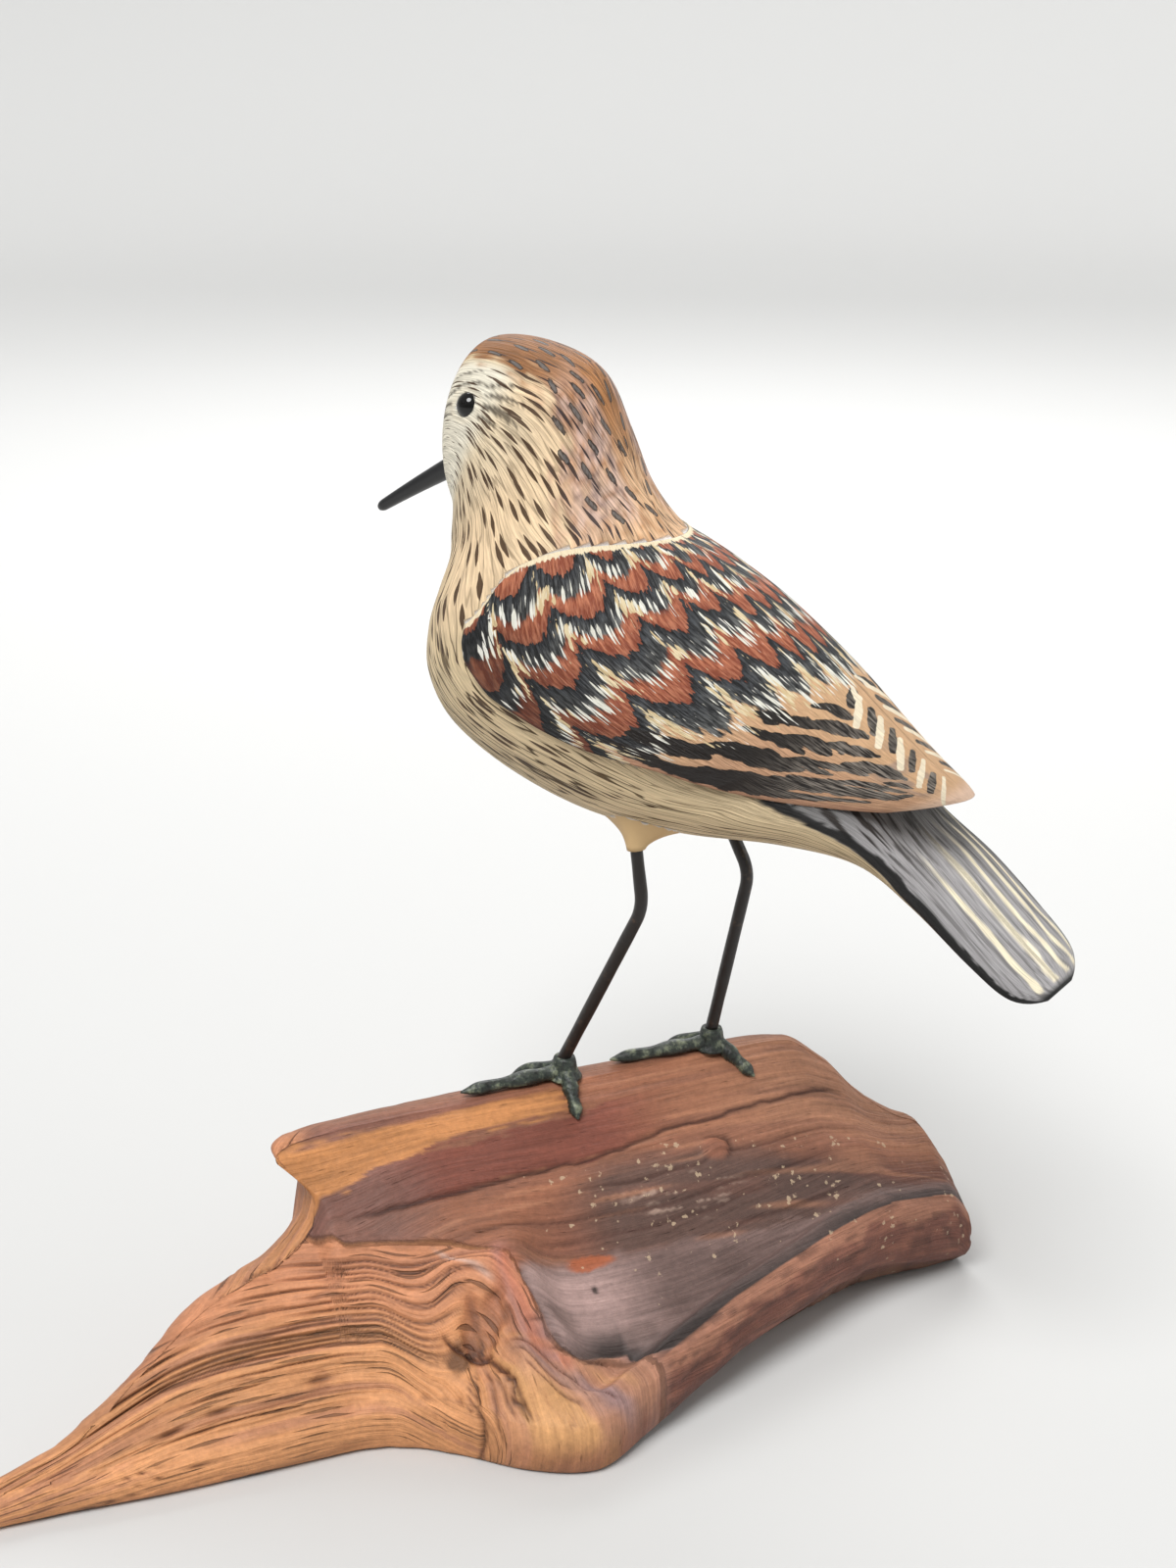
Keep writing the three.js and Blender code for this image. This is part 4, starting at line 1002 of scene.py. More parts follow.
def paint_fields(at, angle):
    """What the brush follows, at each point of the carving.

    Flow along is the length of skin from the bill, and flow across is the angle from the back
    line as a width. Phase counts the feather rows: each column of feathers has its own rows
    where a new dark band starts, set back by the square of the distance from the column's middle,
    and half way to the next row that set-back is mostly taken up again. On the far side flow
    across is moved on, so that its strokes aren't the near side's.
    """
    side = np.sign(angle) + (angle == 0)
    degrees = np.abs(np.degrees(angle))
    marks = np.linspace(0, 20, 400)
    walk = section(body_rows, marks, np.full(400, math.radians(60)))
    lengths = np.concatenate([[0], np.cumsum(np.linalg.norm(np.diff(walk, axis=0), axis=1))])
    flow = np.interp(at, marks, lengths)
    edge = line([(8.3, 104), (9, 107), (9.8, 105), (11, 96), (12, 88), (12.7, 80), (15.2, 98),
                 (19, 100)], at)
    belly = 100 + (degrees - edge) / (180 - edge) * 80
    below = soft(at, 7.6, 9.6) * soft(degrees - edge, -12, 4)
    place = degrees + (belly - degrees) * below
    lean = 9 - 20 * soft(degrees, 55, 150)
    place = place + lean * np.clip(at - 6, -1.5, 1.5) * (1 - soft(at, 7.5, 10))
    far_side = 97 * (side < 0)
    fields = {"flow_along": flow, "flow_across": flank_width * place * side + far_side}
    number = np.clip(np.searchsorted(columns, degrees, "right") - 1, 0, len(columns) - 2)
    low, high = np.array(columns)[number], np.array(columns)[number + 1]
    leaf = np.minimum(np.abs((degrees - low) / (high - low) * 2 - 1), 1)
    start = at + feather_curve * leaf ** 2
    phase = np.zeros_like(at)
    for k, rows in enumerate(bands):
        knots = [rows[0] - 1, *rows, rows[-1] + (1.6 if k < 5 else 1), rows[-1] + 7]
        phase = np.where(number == k, np.interp(start, knots, [0, 1, 2, 3, 4, 5, 11]), phase)
    part = phase - np.floor(phase)
    fields["phase"] = phase - 0.8 * part * (1 - part) * leaf ** 2 * (phase < 4)
    fields["leaf"] = leaf
    # The wing's lower side, where the wing paint lays on painted shade
    fields["low"] = soft(degrees, 66, 98) * soft(at, 7.8, 9.0)
    fields["front"] = 1 - np.abs(at - front_row(np.minimum(degrees / 102, 1))) * row_length / 1.5
    return fields, degrees, side


def segment_field(at, degrees, start, end, half_width):
    """How far inside a painted mark a point lies, from 1 on its middle line to 0 at its rim.

    A mark runs straight from one place to another, each given by its row and its angle. Its half
    width tapers as 0.55 + 0.45 sin(pi s), where s is the share of its length.
    """
    scale = np.array([row_length, mark_width])
    p = np.stack([at, degrees], -1) * scale
    a, b = np.array(start) * scale, np.array(end) * scale
    share = np.clip(((p - a) @ (b - a)) / ((b - a) @ (b - a)), 0, 1)
    taper = 0.55 + 0.45 * np.sin(np.pi * np.clip(share, 0.15, 0.85))
    away = np.linalg.norm(p - a - share[..., None] * (b - a), axis=-1)
    return 1 - away / (half_width * taper)


# Short marks near the wing's back line: where each starts and ends by row and angle, and half width
cream_marks = [((12.22, 6), (12.64, 20), 0.85), ((12.7, 5), (13.18, 21), 0.9),
               ((13.24, 6), (13.84, 24), 0.95), ((13.9, 5), (14.44, 30), 0.85),
               ((14.5, 5), (15.4, 47), 0.7), ((12.0, 4), (12.2, 8), 0.6)]
dark_marks = [((12.08, 6), (12.28, 13), 1.3), ((12.5, 6), (12.9, 16), 1.1),
              ((13.0, 5), (13.4, 17), 1.0), ((13.6, 6), (14.0, 20), 1.0),
              ((14.3, 10), (14.7, 30), 1.1)]

# Dark streaks of the long wing feathers: half width in mm, then places by row and angle
rear_streaks = [
    (1.5, [(11.1, 87), (11.5, 85), (12.0, 83), (12.4, 80.5), (12.8, 77.5), (13.3, 73), (13.8, 68),
           (14.3, 62)]),
    (1.6, [(11.15, 79), (11.45, 76), (11.8, 73.5), (12.1, 72)]),
    (1.40, [(12.0, 25.6), (12.15, 22.6), (12.35, 19.5), (12.5, 17)]),
    (1.66, [(12.28, 31.7), (12.48, 28), (12.67, 25.6), (12.9, 20.8)]),
    (1.31, [(11.78, 40.8), (12.02, 38.9), (12.24, 34.7), (12.38, 33.5)]),
    (1.05, [(11.68, 45), (11.85, 43.8), (12.02, 42.6)]),
    (1.57, [(12.73, 35.9), (12.95, 32.3), (13.16, 29.2), (13.36, 26.2)]),
    (1.40, [(12.31, 43.8), (12.5, 41.4), (12.73, 39.5), (12.92, 39.5)]),
    (1.22, [(11.85, 52.9), (12.07, 50.5), (12.24, 48), (12.4, 47.4), (12.68, 46.2)]),
    (2.10, [(13.25, 39.5), (13.46, 35.9), (13.65, 32.9), (13.93, 30.5), (14.1, 29.2)]),
    (1.14, [(12.73, 49.8), (12.97, 46.8), (13.22, 43.8), (13.46, 42), (13.65, 40.1)]),
    (1.14, [(12.5, 56.5), (12.73, 52.9), (12.95, 50.5), (13.1, 51), (13.33, 49.8)]),
    (2.19, [(11.78, 71), (11.99, 66.2), (12.24, 62), (12.5, 58.3), (12.78, 56.5), (12.97, 55.9)]),
    (2.54, [(12.15, 80.2), (12.35, 77.7), (12.62, 73.5), (12.89, 69.8), (13.11, 66.8), (13.27, 62),
            (13.52, 58.3), (13.82, 55.9), (14.15, 53.5), (14.42, 51), (14.53, 43.8)]),
    (1.05, [(12.8, 67.4), (13.0, 64.4), (13.22, 61.4)]),
    (1.22, [(13.49, 52.9), (13.71, 48), (13.95, 46.2), (14.2, 43.8), (14.42, 40.1)]),
    (1.05, [(14.0, 40), (14.2, 36), (14.4, 33)]),
]


def streak_field(at, degrees, corners, half_width):
    """How far inside a brush streak a point lies, 1 on its middle line and 0 at its rim.

    The streak follows a broken line of places. Its half width swells as the sine of the share
    of its length, to the power 0.4, so that both ends run out to points.
    """
    scale = np.array([row_length, mark_width])
    p = np.stack([at, degrees], -1) * scale
    inside = np.full(at.shape, -9.0)
    count = len(corners) - 1
    for k in range(count):
        a, b = np.array(corners[k]) * scale, np.array(corners[k + 1]) * scale
        share = np.clip(((p - a) @ (b - a)) / ((b - a) @ (b - a)), 0, 1)
        swell = np.sin(np.pi * np.clip((k + share) / count, 0.03, 0.97)) ** 0.4
        away = np.linalg.norm(p - a - share[..., None] * (b - a), axis=-1)
        inside = np.maximum(inside, 1 - away / (half_width * swell))
    return inside


def rear_fields(at, degrees, side):
    """The long wing feathers: dark streaks along the wing's lower edge, and marks near the back.

    Each field is the highest of its own streaks or marks. Noise sways the streaks to and fro and
    roughens their rims, and on the far side all of them stand a little further forward.
    """
    shift = (side < 0) * 0.13
    sway = (degrees + 1.1 * noise(at * 5, degrees / 14 + 9 * side, 72)
            + 0.5 * noise(at * 13, degrees / 6 + 9 * side, 73))
    streak = np.full_like(at, -1)
    for half_width, corners in rear_streaks:
        streak = np.maximum(streak, streak_field(at + shift, sway, corners, half_width))
    streak = streak + 0.22 * noise(at * 10, degrees / 2.5 + side, 74)
    light = np.full_like(at, -1)
    dark = np.full_like(at, -1)
    for begin, end, half_width in cream_marks:
        light = np.maximum(light, segment_field(at + shift, degrees, begin, end, half_width))
    for begin, end, half_width in dark_marks:
        dark = np.maximum(dark, segment_field(at + shift, degrees, begin, end, half_width))
    return {"streak": streak, "light": light, "mark": dark,
            "faded": soft(at - degrees / 60, 11.2, 12.8)}


def rear_tint(at, degrees, side):
    """The plain ground of the wing behind the last feather row: tan, laid over by smooth steps."""
    edge = line(wing_edges, at)
    haze = soft(noise(at * 4, degrees / 8 + side, 75), -0.3, 0.5)
    haze = haze * soft(at, 12.9, 13.6) * (1 - soft(at, 14.6, 15))
    return layered(np.tile(linear("c9a27c"), (*at.shape, 1)), [
        ("b98d70", soft(at, 11.6, 12.4) * soft(degrees, 25, 55) * 0.7),
        ("8d7c74", haze * soft(degrees, 9, 16) * (1 - soft(degrees, 34, 46)) * 0.65),
        ("b4886c", soft(degrees - edge, -9, -4) * (1 - soft(at, 14.6, 15.3))),
        ("e0bfa6", soft(at, 14.7, 15.3)),
    ])


# Cream stripes of the tail: how far across and how wide in mm, and the row where each starts
tail_stripes = [(7.4, 2.7, 16.1), (-0.6, 3.1, 15.9), (-6.6, 1.9, 15.9), (-11.2, 1.5, 15.7),
                (-14.8, 1.1, 15.6)]
# Places of the dark marks on the cap, by row and angle
cap_marks = [(3.6, 30), (4.1, 33), (4.5, 25), (4.9, 31), (4.65, 9), (5.5, 29), (5.4, 9),
             (5.9, 12.5), (6.7, 20), (7, 36), (6, 44), (5.5, 41), (3.3, 14), (3.9, 18), (4.3, 12),
             (4.0, 3), (5.0, 17), (5.2, 22), (6.1, 26), (6.3, 6), (6.4, 34), (7.1, 12), (7.4, 26),
             (7.5, 5), (3.0, 27), (3.1, 5)]
# Fine dark lines round the eye: where each starts and ends by row and angle, and half width
eye_row, eye_angle = 3.65, 71
eye_lines = [((4.1, 67), (4.75, 60), 0.9), ((2.2, 74), (3.15, 72), 0.8), ((4.0, 61), (4.6, 53), 0.6),
             ((3.9, 56), (4.4, 47), 0.5), ((4.15, 73), (4.6, 70), 0.6), ((3.2, 60), (3.8, 54), 0.5),
             ((2.9, 67), (3.3, 61), 0.6), ((4.4, 66), (5.0, 60), 0.5), ((2.4, 62), (3.0, 56), 0.5),
             ((3.0, 54), (3.6, 47), 0.45), ((4.3, 58), (4.9, 50), 0.45), ((2.7, 80), (3.3, 79), 0.5)]


def head_layers(at, degrees, side, wobble):
    """The grounds of head, neck, breast and belly, as layers of colour, and the cap's field.

    Each layer's share is a product of smooth steps in the row and the angle, and of noise.
    """
    cap_edge = line([(0, 12), (1.5, 20), (2.6, 34), (3.5, 36), (5, 37), (6.5, 42), (7.4, 46),
                     (8.4, 52)], at)
    frayed = 7 * noise(at * 1.5, degrees / 2.6 + 30 * side, 93)
    cap = 1 - soft(degrees + 1.3 * wobble + frayed, cap_edge - 7, cap_edge + 7)
    purple = cap * soft(at, 4.4, 5.4) * (1 - soft(at, 7.2, 7.9)) * soft(degrees, 6, 16)
    patchy = noise(at * 4, degrees / 5 + 30 * side, 87)
    layers = [
        ("ecd0aa", soft(at, 3.6, 5) * (1 - soft(at, 7.6, 9)) * (1 - soft(degrees, 110, 150))),
        ("dccdb0", soft(at, 3.4, 4.2) * (1 - soft(at, 4.8, 6.2)) * soft(degrees, 44, 62) * 0.6),
        ("e9e2cf", (1 - soft(at, 3.9, 4.7)) * soft(degrees, 34, 46)),
        ("cbb78f", soft(at, 8, 10) * soft(degrees, 115, 165) * 0.7),
        ("b98254", cap),
        ("855935", cap * (1 - soft(at, 4.2, 5.4)) * 0.9),
        ("e8c19a", cap * soft(at, 5.6, 7.0) * 0.85),
        ("d9bbae", purple * (0.55 + 0.45 * patchy)),
        ("7b625d", purple * soft(noise(at * 9, degrees / 2.2 + 30 * side, 90), 0.05, 0.6) * 0.6),
        ("a87243", cap * soft(noise(at * 7, degrees / 2.5 + 30 * side, 91), 0.1, 0.7) * 0.55),
        ("8f6f50", (1 - soft(at, 1.6, 2.6)) * soft(60 - degrees, 0, 25) * soft(at, 0.3, 1) * 0.6),
    ]
    return layers, cap


def tail_layers(at, degrees, side, wobble, y):
    """The tail's slate ground, its barbs, cream stripes and black rim, as layers of colour.

    A stripe is 1 less a smooth step of the distance from its middle line, which noise bends, as
    noise changes its width too. It starts as the square of a smooth step at its own row.
    """
    rim_edge = line([(12.3, 55), (12.7, 69), (15.2, 98), (16, 104), (19, 110)], at)
    on_tail = soft(at, 12.1, 12.5) * soft(rim_edge - degrees + 0.5 * wobble, -2, 2)
    barb_lines = noise(at * 1.8 + y / 4, y / 0.5, 83)
    slate = soft(noise(at * 1.3, degrees / 10 + 7 * side, 88), 0, 0.8) * (1 - soft(at, 14, 16))
    half = smooth_rows(body_rows, at)[..., 4] * unit
    stripe = np.zeros_like(at)
    for number, (place, width, first) in enumerate(tail_stripes):
        middle_line = place + 0.55 * noise(at * 1.6, 0 * y + 3 * number, 84)
        swell = 1 + 0.25 * noise(at * 5, 0 * y + 5 * number, 85)
        reach = width / 2 * (0.65 + 0.35 * soft(at, 15.5, 17.8)) * swell
        started = soft(at + 0.35 * noise(y / 0.8, at * 2, 86), first - 1.3, first + 0.1) ** 2
        off_line = soft(np.abs(y - middle_line), reach - 0.25, reach + 0.3)
        stripe = np.maximum(stripe, started * (1 - off_line))
    inner = 1 - soft(np.abs(y) / half, 0.89, 0.95)
    stripe_end = (1 - soft(at, 18.5, 18.7)) * (1 - soft(degrees, 78, 86))
    rough_rim = 2.2 * noise(at * 9, 0 * y + side, 89)
    outer = soft(np.abs(y) / half + 0.01 * rough_rim, 0.935, 0.965) * soft(at, 13.2, 14)
    black = on_tail * np.maximum(soft(degrees - rim_edge + rough_rim, -12, -9), outer)
    black = np.maximum(black, soft(at, 18.72, 18.85))
    layers = [
        ("5d5c5a", on_tail),
        ("aba8a9", on_tail * soft(at + y / 16, 13.9, 16.3) * 0.85),
        ("2c2724", on_tail * soft(barb_lines, 0.15, 0.6) * (1 - 0.55 * soft(at, 14.5, 16))),
        ("3a3734", on_tail * slate),
        ("efe4c8", stripe * on_tail * inner * stripe_end),
        ("0b0a09", black * 0.97),
    ]
    return layers, on_tail


def body_colour(at, degrees, side, y):
    """The ground colours of head, neck, breast, belly and tail, and the fields of the fine strokes.

    Dash says how full the brush dashes are, and the second field how deep the scored lines. Each
    is the highest of its areas, and an area is a product of smooth steps in row and angle.
    """
    wobble = (5 * noise(at * 2.6, degrees / 9 + 30 * side, 81)
              + 3 * noise(at * 6, degrees / 3 + 30 * side, 82))
    layers, cap = head_layers(at, degrees, side, wobble)
    brow = np.full_like(at, -1)
    far_side = 4 * (side < 0)
    for row, angle in cap_marks:
        begin, end = (row - 0.13, angle), (row + 0.15, angle + (2 if row < 5 else -3))
        brow = np.maximum(brow, segment_field(at, degrees + far_side, begin, end, 0.72))
    eye_line = np.full_like(at, -1)
    for begin, end, half_width in eye_lines:
        eye_line = np.maximum(eye_line, segment_field(at, degrees, begin, end, half_width))
    eye_line = eye_line + 0.25 * noise(at * 9, degrees / 2, 92)
    ring = np.hypot((at - eye_row) * 7.2, (degrees - eye_angle) * 0.30)
    layers += [("e6dcc6", soft(ring, 2.4, 2.7) * (1 - soft(ring, 3.3, 3.9)) * 0.8),
               ("3a3128", soft(eye_line, 0, 0.3) * 0.8)]
    tail, on_tail = tail_layers(at, degrees, side, wobble, y)
    tone = layered(np.tile(linear("d8c29c"), (*at.shape, 1)), layers + tail)
    neck = 0.26 * soft(at, 3.4, 4.4) * (1 - soft(at, 8.2, 9.4)) * soft(degrees, 24, 36)
    face = 0.17 * (1 - soft(at, 3.6, 4.6)) * soft(degrees, 24, 40) * (1 - 0.6 * soft(degrees, 78, 92))
    flank = (0.25 * soft(at, 8.8, 9.9) * (1 - soft(at, 11.4, 12.2))
             * soft(degrees, 98, 106) * (1 - soft(degrees, 120, 136)))
    dash = np.maximum.reduce([neck, face, 0.15 * cap, flank]) * (1 - on_tail)
    belly = soft(at, 7.8, 9.4) * soft(degrees, 84, 104) * (1 - soft(at, 14.5, 16))
    groove_share = 0.12 + 0.28 * soft(at, 3.6, 5.2) + 0.56 * belly
    return tone, dash, groove_share * (1 - on_tail), cap, brow


# The body's rings and the points in each. The tail's last ring is narrowed, which rounds its
# corners, and the outermost points are drawn in by 0.15 mm at most, to keep to the body's size
body_rings, body_around = 175, 292
along_body = np.linspace(0, len(body_rows) - 1, body_rings)[:, None]
body_angle = (2 * np.pi * np.arange(body_around) / body_around)[None]
along_body, body_angle = np.broadcast_arrays(along_body, body_angle)
body_grid = section(body_rows, along_body, body_angle)
body_grid[..., 1] *= 1 - 0.35 * np.clip(along_body - 18, 0, 1) ** 6
body_grid[..., 0] = np.maximum(body_grid[..., 0], body_grid[..., 0].min() + 0.15)
body_grid[..., 2] = np.minimum(body_grid[..., 2], body_grid[..., 2].max() - 0.09)
body_grid[..., 0] += 0.03 * soft(along_body, 17, 18.8)
# From here on the angle's sign tells the side
body_angle = np.where(body_angle > np.pi, body_angle - 2 * np.pi, body_angle)


def stretched(tree, long_mm, wide_mm, offset=0.0):
    """A place on the paint counted in strokes: flow along / length + offset, flow across / width."""
    along = add(tree, "Attribute", {"attribute_name": "flow_along"})
    across = add(tree, "Attribute", {"attribute_name": "flow_across"})
    first = add(tree, "Math", {"operation": "MULTIPLY_ADD"},
                {0: along.outputs["Fac"], 1: 1 / long_mm, 2: offset})
    second = add(tree, "Math", {"operation": "MULTIPLY"}, {0: across.outputs["Fac"], 1: 1 / wide_mm})
    return add(tree, "CombineXYZ", None, {"X": first, "Y": second})


# Soft craft paint over scored wood: matt, so rough and with little of a smooth paint's shine
plain_paint, tree, shader = new_material("matt paint on scored wood")
tone = add(tree, "Attribute", {"attribute_name": "tint"})
scored = add(tree, "Attribute", {"attribute_name": "scored"})
dashed = add(tree, "Attribute", {"attribute_name": "dash"})
capped = add(tree, "Attribute", {"attribute_name": "cap"})
# Fine barbs 0.7 mm wide and 9 mm long
barbs = add(tree, "TexNoise", {"noise_dimensions": "2D"},
            {"Vector": stretched(tree, 9, 0.7), "Scale": 1.0, "Detail": 2.0, "Roughness": 0.6})
barb_shade = add(tree, "MapRange", None,
                 {"Value": barbs.outputs["Fac"], "From Min": 0.32, "From Max": 0.68,
                  "To Min": 0.74, "To Max": 1.14})
base = add(tree, "VectorMath", {"operation": "SCALE"},
           {0: tone.outputs["Color"], "Scale": barb_shade})
# Scored lines about 2 mm apart, 26 mm long and a few tenths of a millimetre wide, with dark bottoms
scores = add(tree, "TexNoise", {"noise_dimensions": "2D"},
             {"Vector": stretched(tree, 26, 2.1, 4.0), "Scale": 1.0, "Detail": 1.0, "Roughness": 0.5})
off_middle = add(tree, "Math", {"operation": "SUBTRACT"}, {0: scores.outputs["Fac"], 1: 0.5})
off_line = add(tree, "Math", {"operation": "ABSOLUTE"}, {0: off_middle})
score_line = add(tree, "MapRange", None,
                 {"Value": off_line, "From Min": 0.018, "From Max": 0.042,
                  "To Min": 1.0, "To Max": 0.0})
score_share = add(tree, "Math", {"operation": "MULTIPLY"}, {0: score_line, 1: scored.outputs["Fac"]})
lined = add(tree, "Mix", {"data_type": "RGBA"},
            {"Factor": score_share, 6: base, 7: (*linear("49361a"), 1)})
# Brush dashes with pointed ends, about half as long and as wide as their cells of 14 by 2 mm
cells = add(tree, "TexVoronoi", {"voronoi_dimensions": "2D", "distance": "MINKOWSKI"},
            {"Vector": stretched(tree, 14, 2.0), "Scale": 1.0, "Randomness": 0.9, "Exponent": 1.25})
dash_depth = add(tree, "Math", {"operation": "SUBTRACT"},
                 {0: dashed.outputs["Fac"], 1: cells.outputs["Distance"]})
ragged_depth = add(tree, "Math", {"operation": "MULTIPLY_ADD"},
                   {0: barbs.outputs["Fac"], 1: 0.18, 2: dash_depth})
dash_share = add(tree, "MapRange", None,
                 {"Value": ragged_depth, "From Min": 0.07, "From Max": 0.10,
                  "To Min": 0.0, "To Max": 0.94})
dash_colour = add(tree, "Mix", {"data_type": "RGBA"},
                  {"Factor": capped.outputs["Fac"], 6: (*linear("422a15"), 1),
                   7: (*linear("33282a"), 1)})
dashes = add(tree, "Mix", {"data_type": "RGBA"},
             {"Factor": dash_share, 6: lined.outputs[2], 7: dash_colour.outputs[2]})
# The larger marks of the cap, dark round the rim and slate grey inside
spots = add(tree, "Attribute", {"attribute_name": "spots"})
ragged_spots = add(tree, "Math", {"operation": "MULTIPLY_ADD"},
                   {0: barbs.outputs["Fac"], 1: 0.7, 2: spots.outputs["Fac"]})
spot_share = add(tree, "MapRange", None,
                 {"Value": ragged_spots, "From Min": 0.38, "From Max": 0.46,
                  "To Min": 0.0, "To Max": 0.92})
spot_grey = add(tree, "MapRange", None, {"Value": ragged_spots, "From Min": 0.62, "From Max": 0.95})
spot_colour = add(tree, "Mix", {"data_type": "RGBA"},
                  {"Factor": spot_grey, 6: (*linear("2c2623"), 1), 7: (*linear("66625f"), 1)})
spotted = add(tree, "Mix", {"data_type": "RGBA"},
              {"Factor": spot_share, 6: dashes.outputs[2], 7: spot_colour.outputs[2]})
score_depth = add(tree, "Math", {"operation": "MULTIPLY_ADD"},
                  {0: score_share, 1: -1.2, 2: barbs.outputs["Fac"]})
relief = add(tree, "Bump", None, {"Height": score_depth, "Strength": 0.7, "Distance": 0.0005})
surface(tree, shader, spotted.outputs[2], relief, 0.6, 0.3)

# The same paint on the wings: a rust patch, a slate band and pale strokes on every feather
wing_paint, tree, shader = new_material("matt paint on scored feathers")
phase = add(tree, "Attribute", {"attribute_name": "phase"})
leaf = add(tree, "Attribute", {"attribute_name": "leaf"})
low = add(tree, "Attribute", {"attribute_name": "low"})
# Strokes 7 mm long and 0.9 mm wide make the edges of the bands ragged
streaks = add(tree, "TexNoise", {"noise_dimensions": "2D"},
              {"Vector": stretched(tree, 7, 0.9, 2.0), "Scale": 1.0, "Detail": 3.0, "Roughness": 0.65})
shifted = add(tree, "Math", {"operation": "MULTIPLY_ADD"},
              {0: streaks.outputs["Fac"], 1: 0.40, 2: -0.20})
ragged_phase = add(tree, "Math", {"operation": "ADD"}, {0: phase.outputs["Fac"], 1: shifted})
feather = add(tree, "Math", {"operation": "FRACT"}, {0: ragged_phase})
# Barbs 5 mm long and 0.5 mm wide. Each band has a dark and a light colour, and they pick one
barbs = add(tree, "TexNoise", {"noise_dimensions": "2D"},
            {"Vector": stretched(tree, 5, 0.5), "Scale": 1.0, "Detail": 2.0, "Roughness": 0.6})
barb_share = add(tree, "MapRange", None,
                 {"Value": barbs.outputs["Fac"], "From Min": 0.41, "From Max": 0.67})
ramps = []
for codes in (("0d0d0f", "1b1c1e", "262727", "6b3423", "8c4830", "80402b"),
              ("242528", "404347", "6c6c69", "a86a4e", "bf7757", "ac6c50")):
    ramp = add(tree, "ValToRGB", None, {"Fac": feather})
    set_stops(ramp, zip((0.0, 0.08, 0.46, 0.52, 0.62, 0.97), map(linear, codes)))
    ramps.append(ramp.outputs["Color"])
banded = add(tree, "Mix", {"data_type": "RGBA"}, {"Factor": barb_share, 6: ramps[0], 7: ramps[1]})
# Painted shade: the wing's lower side darkens to 0.42 of its colour
low_dark = add(tree, "MapRange", None, {"Value": low.outputs["Fac"], "To Min": 1.0, "To Max": 0.42})
shaded = add(tree, "VectorMath", {"operation": "SCALE"}, {0: banded.outputs[2], "Scale": low_dark})
# Behind the last feather row the wing keeps its plain ground
behind = add(tree, "MapRange", None, {"Value": ragged_phase, "From Min": 4.44, "From Max": 4.50})
tone = add(tree, "Attribute", {"attribute_name": "tint"})
tan_shade = add(tree, "MapRange", None,
                {"Value": barbs.outputs["Fac"], "From Min": 0.32, "From Max": 0.68,
                 "To Min": 0.86, "To Max": 1.1})
tan = add(tree, "VectorMath", {"operation": "SCALE"}, {0: tone.outputs["Color"], "Scale": tan_shade})
ground = add(tree, "Mix", {"data_type": "RGBA"}, {"Factor": behind, 6: shaded, 7: tan})
# Dark streaks along the long feathers, black in front and greyer behind, then the short marks.
# The strokes move each mark's rim to and fro, the light ones a little more
faded = add(tree, "Attribute", {"attribute_name": "faded"})
grey_share = add(tree, "Math", {"operation": "MULTIPLY"}, {0: faded.outputs["Fac"], 1: barb_share})
slate_streak = add(tree, "Mix", {"data_type": "RGBA"},
                   {"Factor": grey_share, 6: (*linear("1f1a17"), 1), 7: (*linear("8f867c"), 1)})
shaded_light = add(tree, "VectorMath", {"operation": "SCALE"},
                   {0: tuple(linear("e9dbc0")), "Scale": tan_shade})
colour = ground.outputs[2]
for name, source, jitter in (("streak", slate_streak.outputs[2], 0.7),
                             ("mark", slate_streak.outputs[2], 0.7),
                             ("light", shaded_light, 0.75)):
    field = add(tree, "Attribute", {"attribute_name": name})
    moved = add(tree, "Math", {"operation": "MULTIPLY_ADD"},
                {0: streaks.outputs["Fac"], 1: jitter, 2: field.outputs["Fac"]})
    share = add(tree, "MapRange", None,
                {"Value": moved, "From Min": jitter / 2, "From Max": jitter / 2 + 0.1})
    mixed = add(tree, "Mix", {"data_type": "RGBA"}, {"Factor": share, 6: colour, 7: source})
    colour = mixed.outputs[2]
# Pale pointed brush strokes over the end of each dark band and between feathers. They stand one in
# each cell of 8 to 15 mm by 0.8 to 1.2 mm, and fill about half of it
loose_phase = add(tree, "Math", {"operation": "FRACT"}, {0: phase.outputs["Fac"]})
windows = []
for heights in (((0.08, 0.0), (0.22, 0.55), (0.36, 1.0), (0.54, 0.9), (0.72, 0.3), (0.92, 0.0)),
                ((0.04, 0.1), (0.2, 0.3), (0.38, 1.0), (0.74, 0.95), (0.9, 0.2), (0.98, 0.1))):
    ramp = add(tree, "ValToRGB", None, {"Fac": loose_phase})
    set_stops(ramp, [(stop, (value, value, value)) for stop, value in heights])
    windows.append(ramp.outputs["Color"])
first_rows = add(tree, "MapRange", None,
                 {"Value": phase.outputs["Fac"], "From Min": 4.9, "From Max": 4.7})
# The strokes stand in loose groups 20 mm long and 4 mm wide
groups = add(tree, "TexNoise", {"noise_dimensions": "2D"},
             {"Vector": stretched(tree, 20, 4, 11.0), "Scale": 1.0, "Detail": 1.0, "Roughness": 0.5})
grouped = add(tree, "MapRange", None,
              {"Value": groups.outputs["Fac"], "From Min": 0.35, "From Max": 0.6,
               "To Min": 0.45, "To Max": 1.0})
some_rows = add(tree, "Math", {"operation": "MULTIPLY"}, {0: grouped, 1: first_rows})
pale_window = add(tree, "Math", {"operation": "MULTIPLY"}, {0: windows[0], 1: some_rows})
seam = add(tree, "MapRange", None, {"Value": leaf.outputs["Fac"], "From Min": 0.4, "From Max": 0.9})
seam_side = add(tree, "Math", {"operation": "MULTIPLY"}, {0: seam, 1: windows[1]})
seam_window = add(tree, "Math", {"operation": "MULTIPLY"}, {0: seam_side, 1: first_rows})
